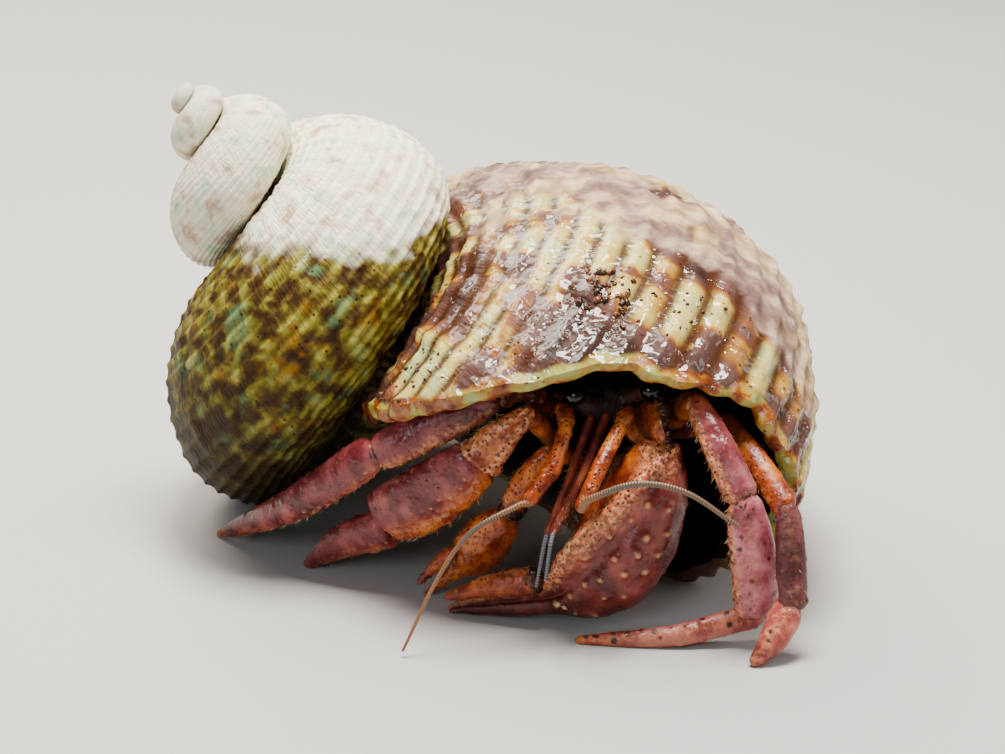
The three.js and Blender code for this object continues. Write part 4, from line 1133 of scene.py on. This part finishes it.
# A seta's triangles: two for each side between two rings, one for each side up to the tip, and
# two that close its root.
side = np.arange(SIDES)
beside = (side + 1) % SIDES
low = np.arange(len(LEVELS) - 1)[:, None] * SIDES
a, b = low + side, low + beside
walls = np.stack([a, b, b + SIDES, a, b + SIDES, a + SIDES], -1).reshape(-1, 3)
last = (len(LEVELS) - 1) * SIDES
cap = np.stack([last + side, last + beside, np.full(SIDES, last + SIDES)], -1)
one = np.concatenate([walls, cap, [[0, 2, 1], [0, 3, 2]]])
faces = (one[None] + (np.arange(len(points)) * points.shape[1])[:, None, None]).reshape(-1, 3)
# On the bake map each seta is a patch at its root's place on its plate's cell.
across = np.append(np.tile(side / SIDES, len(LEVELS)), 0.5)
patch = np.stack([across, TO_TIP], -1) * PATCH
corner_uv = (maps[:, None] + patch[None])[:, one.ravel()].reshape(-1, 2)
new_piece("setae", points.reshape(-1, 3), faces.tolist(), finish_setae, "setae", ("OFBake", corner_uv),
          {"tone": tones.ravel()})


# ---- Mud and sand ---------------------------------------------------------------------------------
# Crumbs of wet brown mud stuck on the shell at the wet line and in the joints of the claws,
# and a few pale sand grains on the large claw.
finish_mud, tree, surface, place = new_finish("wet mud and sand")
pale_grain = add_node(tree, "Attribute", out="Fac", attribute_name="sand")
brown = add_node(tree, "TexNoise", {"Vector": place, "Scale": 1.5 * PER_MM, "Detail": 3.0})
brown = add_node(tree, "ValToRGB", {0: brown}, stops=[
    (0.35, "#1c0d05"), (0.52, "#4a250f"), (0.66, "#7d4a22")])
colour = add_node(tree, "Mix", {0: pale_grain, 6: brown, 7: "#d8a583"}, **IN_COLOUR)
body = add_node(tree, "BsdfPrincipled", {"Base Color": colour, "Roughness": 0.25, "IOR": 1.45})
tree.links.new(body, surface)
CRUMB_ROWS, CRUMB_COLUMNS = 6, 8
CRUMB_POLE = 0.35                   # how far its first and last ring are from its poles
SHELL_MUD = [                       # middle, radius in mm, how many crumbs, their size
    ((9.0, -13.5, 24.5), 1.6, 46, 0.24),
    ((8.0, -12.0, 25.5), 1.0, 16, 0.22),
    ((14.0, -13.5, 23.0), 2.4, 30, 0.14),
    ((-3.5, -13.5, 17.5), 1.8, 26, 0.15),
    ((-6.5, -12.0, 15.8), 1.4, 16, 0.16),
    ((4.0, -16.0, 22.0), 3.0, 30, 0.09),
]
PLATE_MUD = [                       # plate, share along, angle, width, how many, size, 1 for sand
    ("claw_finger_left", 0.05, 0, 0.10, 30, 0.13, 0.0),
    ("claw_wrist_left", 0.93, 20, 0.08, 36, 0.15, 0.0),
    ("claw_wrist_right", 0.93, 20, 0.08, 26, 0.13, 0.0),
    ("claw_hand_left", 0.66, -10, 0.05, 2, 0.26, 1.0),
    ("leg2_right_propodus", 0.25, 30, 0.10, 10, 0.10, 0.0),
    ("leg2_left_propodus", 0.04, 10, 0.05, 10, 0.12, 0.0),
]


def crumbs(spots, normals, sizes, random):
    """Lumps sunk half into the surface: each is a small ball, flattened along the normal and
    with every ring and column scaled unevenly."""
    lift = np.linspace(CRUMB_POLE, np.pi - CRUMB_POLE, CRUMB_ROWS)[None, :, None]
    turn = (np.arange(CRUMB_COLUMNS) * TURN / CRUMB_COLUMNS)[None, None, :]
    uneven = 1 + 0.28 * random.normal(size=(len(spots), CRUMB_ROWS, CRUMB_COLUMNS))
    first = unit(np.cross(normals, random.normal(size=spots.shape)))
    second = np.cross(normals, first)
    size = sizes[:, None, None] * uneven
    balls = (first[:, None, None] * (size * np.sin(lift) * np.cos(turn))[..., None]
             + second[:, None, None] * (0.8 * size * np.sin(lift) * np.sin(turn))[..., None]
             + normals[:, None, None] * (0.7 * size * np.cos(lift))[..., None]) + spots[:, None, None]
    return [grid_mesh(ball, start_pole=True, end_pole=True)[:2] for ball in balls]


random = np.random.default_rng(61)
surface, outward = front_grid.reshape(-1, 3), front_normals.reshape(-1, 3)
lumps, is_sand = [], []
for middle, radius, number, size in SHELL_MUD:
    chance = np.exp(-((surface - np.array(middle)) ** 2).sum(-1) / radius ** 2)
    index = random.choice(len(surface), size=number, p=chance / chance.sum())
    lumps += crumbs(surface[index], outward[index], size * random.uniform(0.4, 1.3, number), random)
    is_sand += [0.0] * number
for node, along, angle, width, number, size, sand in PLATE_MUD:
    host = plates[node]
    weight = np.exp(-((host["along"] - along) / width) ** 2)
    weight = weight * stripe(host["along"], host["around"], angle, angle, 25)
    index = scattered(host["grid"], weight, number, random)
    spots, facing = host["grid"].reshape(-1, 3)[index], host["normals"].reshape(-1, 3)[index]
    lumps += crumbs(spots, facing, size * random.uniform(0.6, 1.2, number), random)
    is_sand += [sand] * number
new_piece("mud_and_sand", *joined(lumps), finish_mud, "shell",
          values={"sand": np.repeat(is_sand, CRUMB_ROWS * CRUMB_COLUMNS + 2)})


# ---- Floor and light -----------------------------------------------------------------------------
# A plain pale floor that curves up far behind, under a broad soft light from above and
# behind and a weak one from the front.
finish_floor, tree, surface, _ = new_finish("matt paper sweep")
body = add_node(tree, "BsdfPrincipled", {"Base Color": "#b9b7b3", "Roughness": 0.6})
tree.links.new(body, surface)
FLOOR_HALF_WIDTH, FLOOR_NEAR, FLOOR_FAR, BEND_RADIUS, FLOOR_TOP = 900.0, -500.0, 500.0, 260.0, 900.0
bend = np.linspace(0, np.pi / 2, 24)
depth = np.concatenate([[FLOOR_NEAR], FLOOR_FAR + BEND_RADIUS * np.sin(bend), [FLOOR_FAR + BEND_RADIUS]])
height = np.concatenate([[0.0], BEND_RADIUS - BEND_RADIUS * np.cos(bend), [FLOOR_TOP]])
across = np.array([-FLOOR_HALF_WIDTH, FLOOR_HALF_WIDTH])
sweep = np.stack(np.broadcast_arrays(across, depth[:, None], height[:, None]), -1)
corner = 2 * np.arange(len(depth) - 1)[:, None]
mesh = bpy.data.meshes.new("floor")
mesh.from_pydata((sweep.reshape(-1, 3) * MM).tolist(), [], (corner + [0, 1, 3, 2]).tolist())
mesh.polygons.foreach_set("use_smooth", np.ones(len(corner), bool))
mesh.materials.append(finish_floor)
floor = bpy.data.objects.new("floor", mesh)
bpy.context.scene.collection.objects.link(floor)

LIGHTS = {                          # name: place, aims at, side of the square in mm, watts, colour
    "window_above": ((10, 10, 260), (5, -5, 15), 96, 1.95, "#fffaf2"),
    "window_behind": ((-90, 170, 200), (-5, 5, 15), 200, 1.3, "#fff6ea"),
    "fill_front": ((-120, -260, 140), (0, 0, 10), 120, 0.28, "#f2f6ff"),
    "side_right": ((230, -40, 120), (5, 0, 12), 120, 0.2, "#ffffff"),
}
for name, (spot, aim, side, watts, tint) in LIGHTS.items():
    lamp = bpy.data.lights.new(name, "AREA")
    lamp.size = side * MM
    lamp.energy = watts
    lamp.color = linear(tint)[:3]
    holder = bpy.data.objects.new(name, lamp)
    bpy.context.scene.collection.objects.link(holder)
    holder.location = np.array(spot) * MM
    facing = unit(np.array(spot, float) - np.array(aim, float))
    holder.rotation_euler = (np.arccos(facing[2]), 0.0, np.arctan2(facing[1], facing[0]) + np.pi / 2)
world = bpy.data.worlds.new("studio")
world.use_nodes = True
background = world.node_tree.nodes["Background"]
background.inputs["Color"].default_value = linear("#dfe3e8")
background.inputs["Strength"].default_value = 0.2
bpy.context.scene.world = world
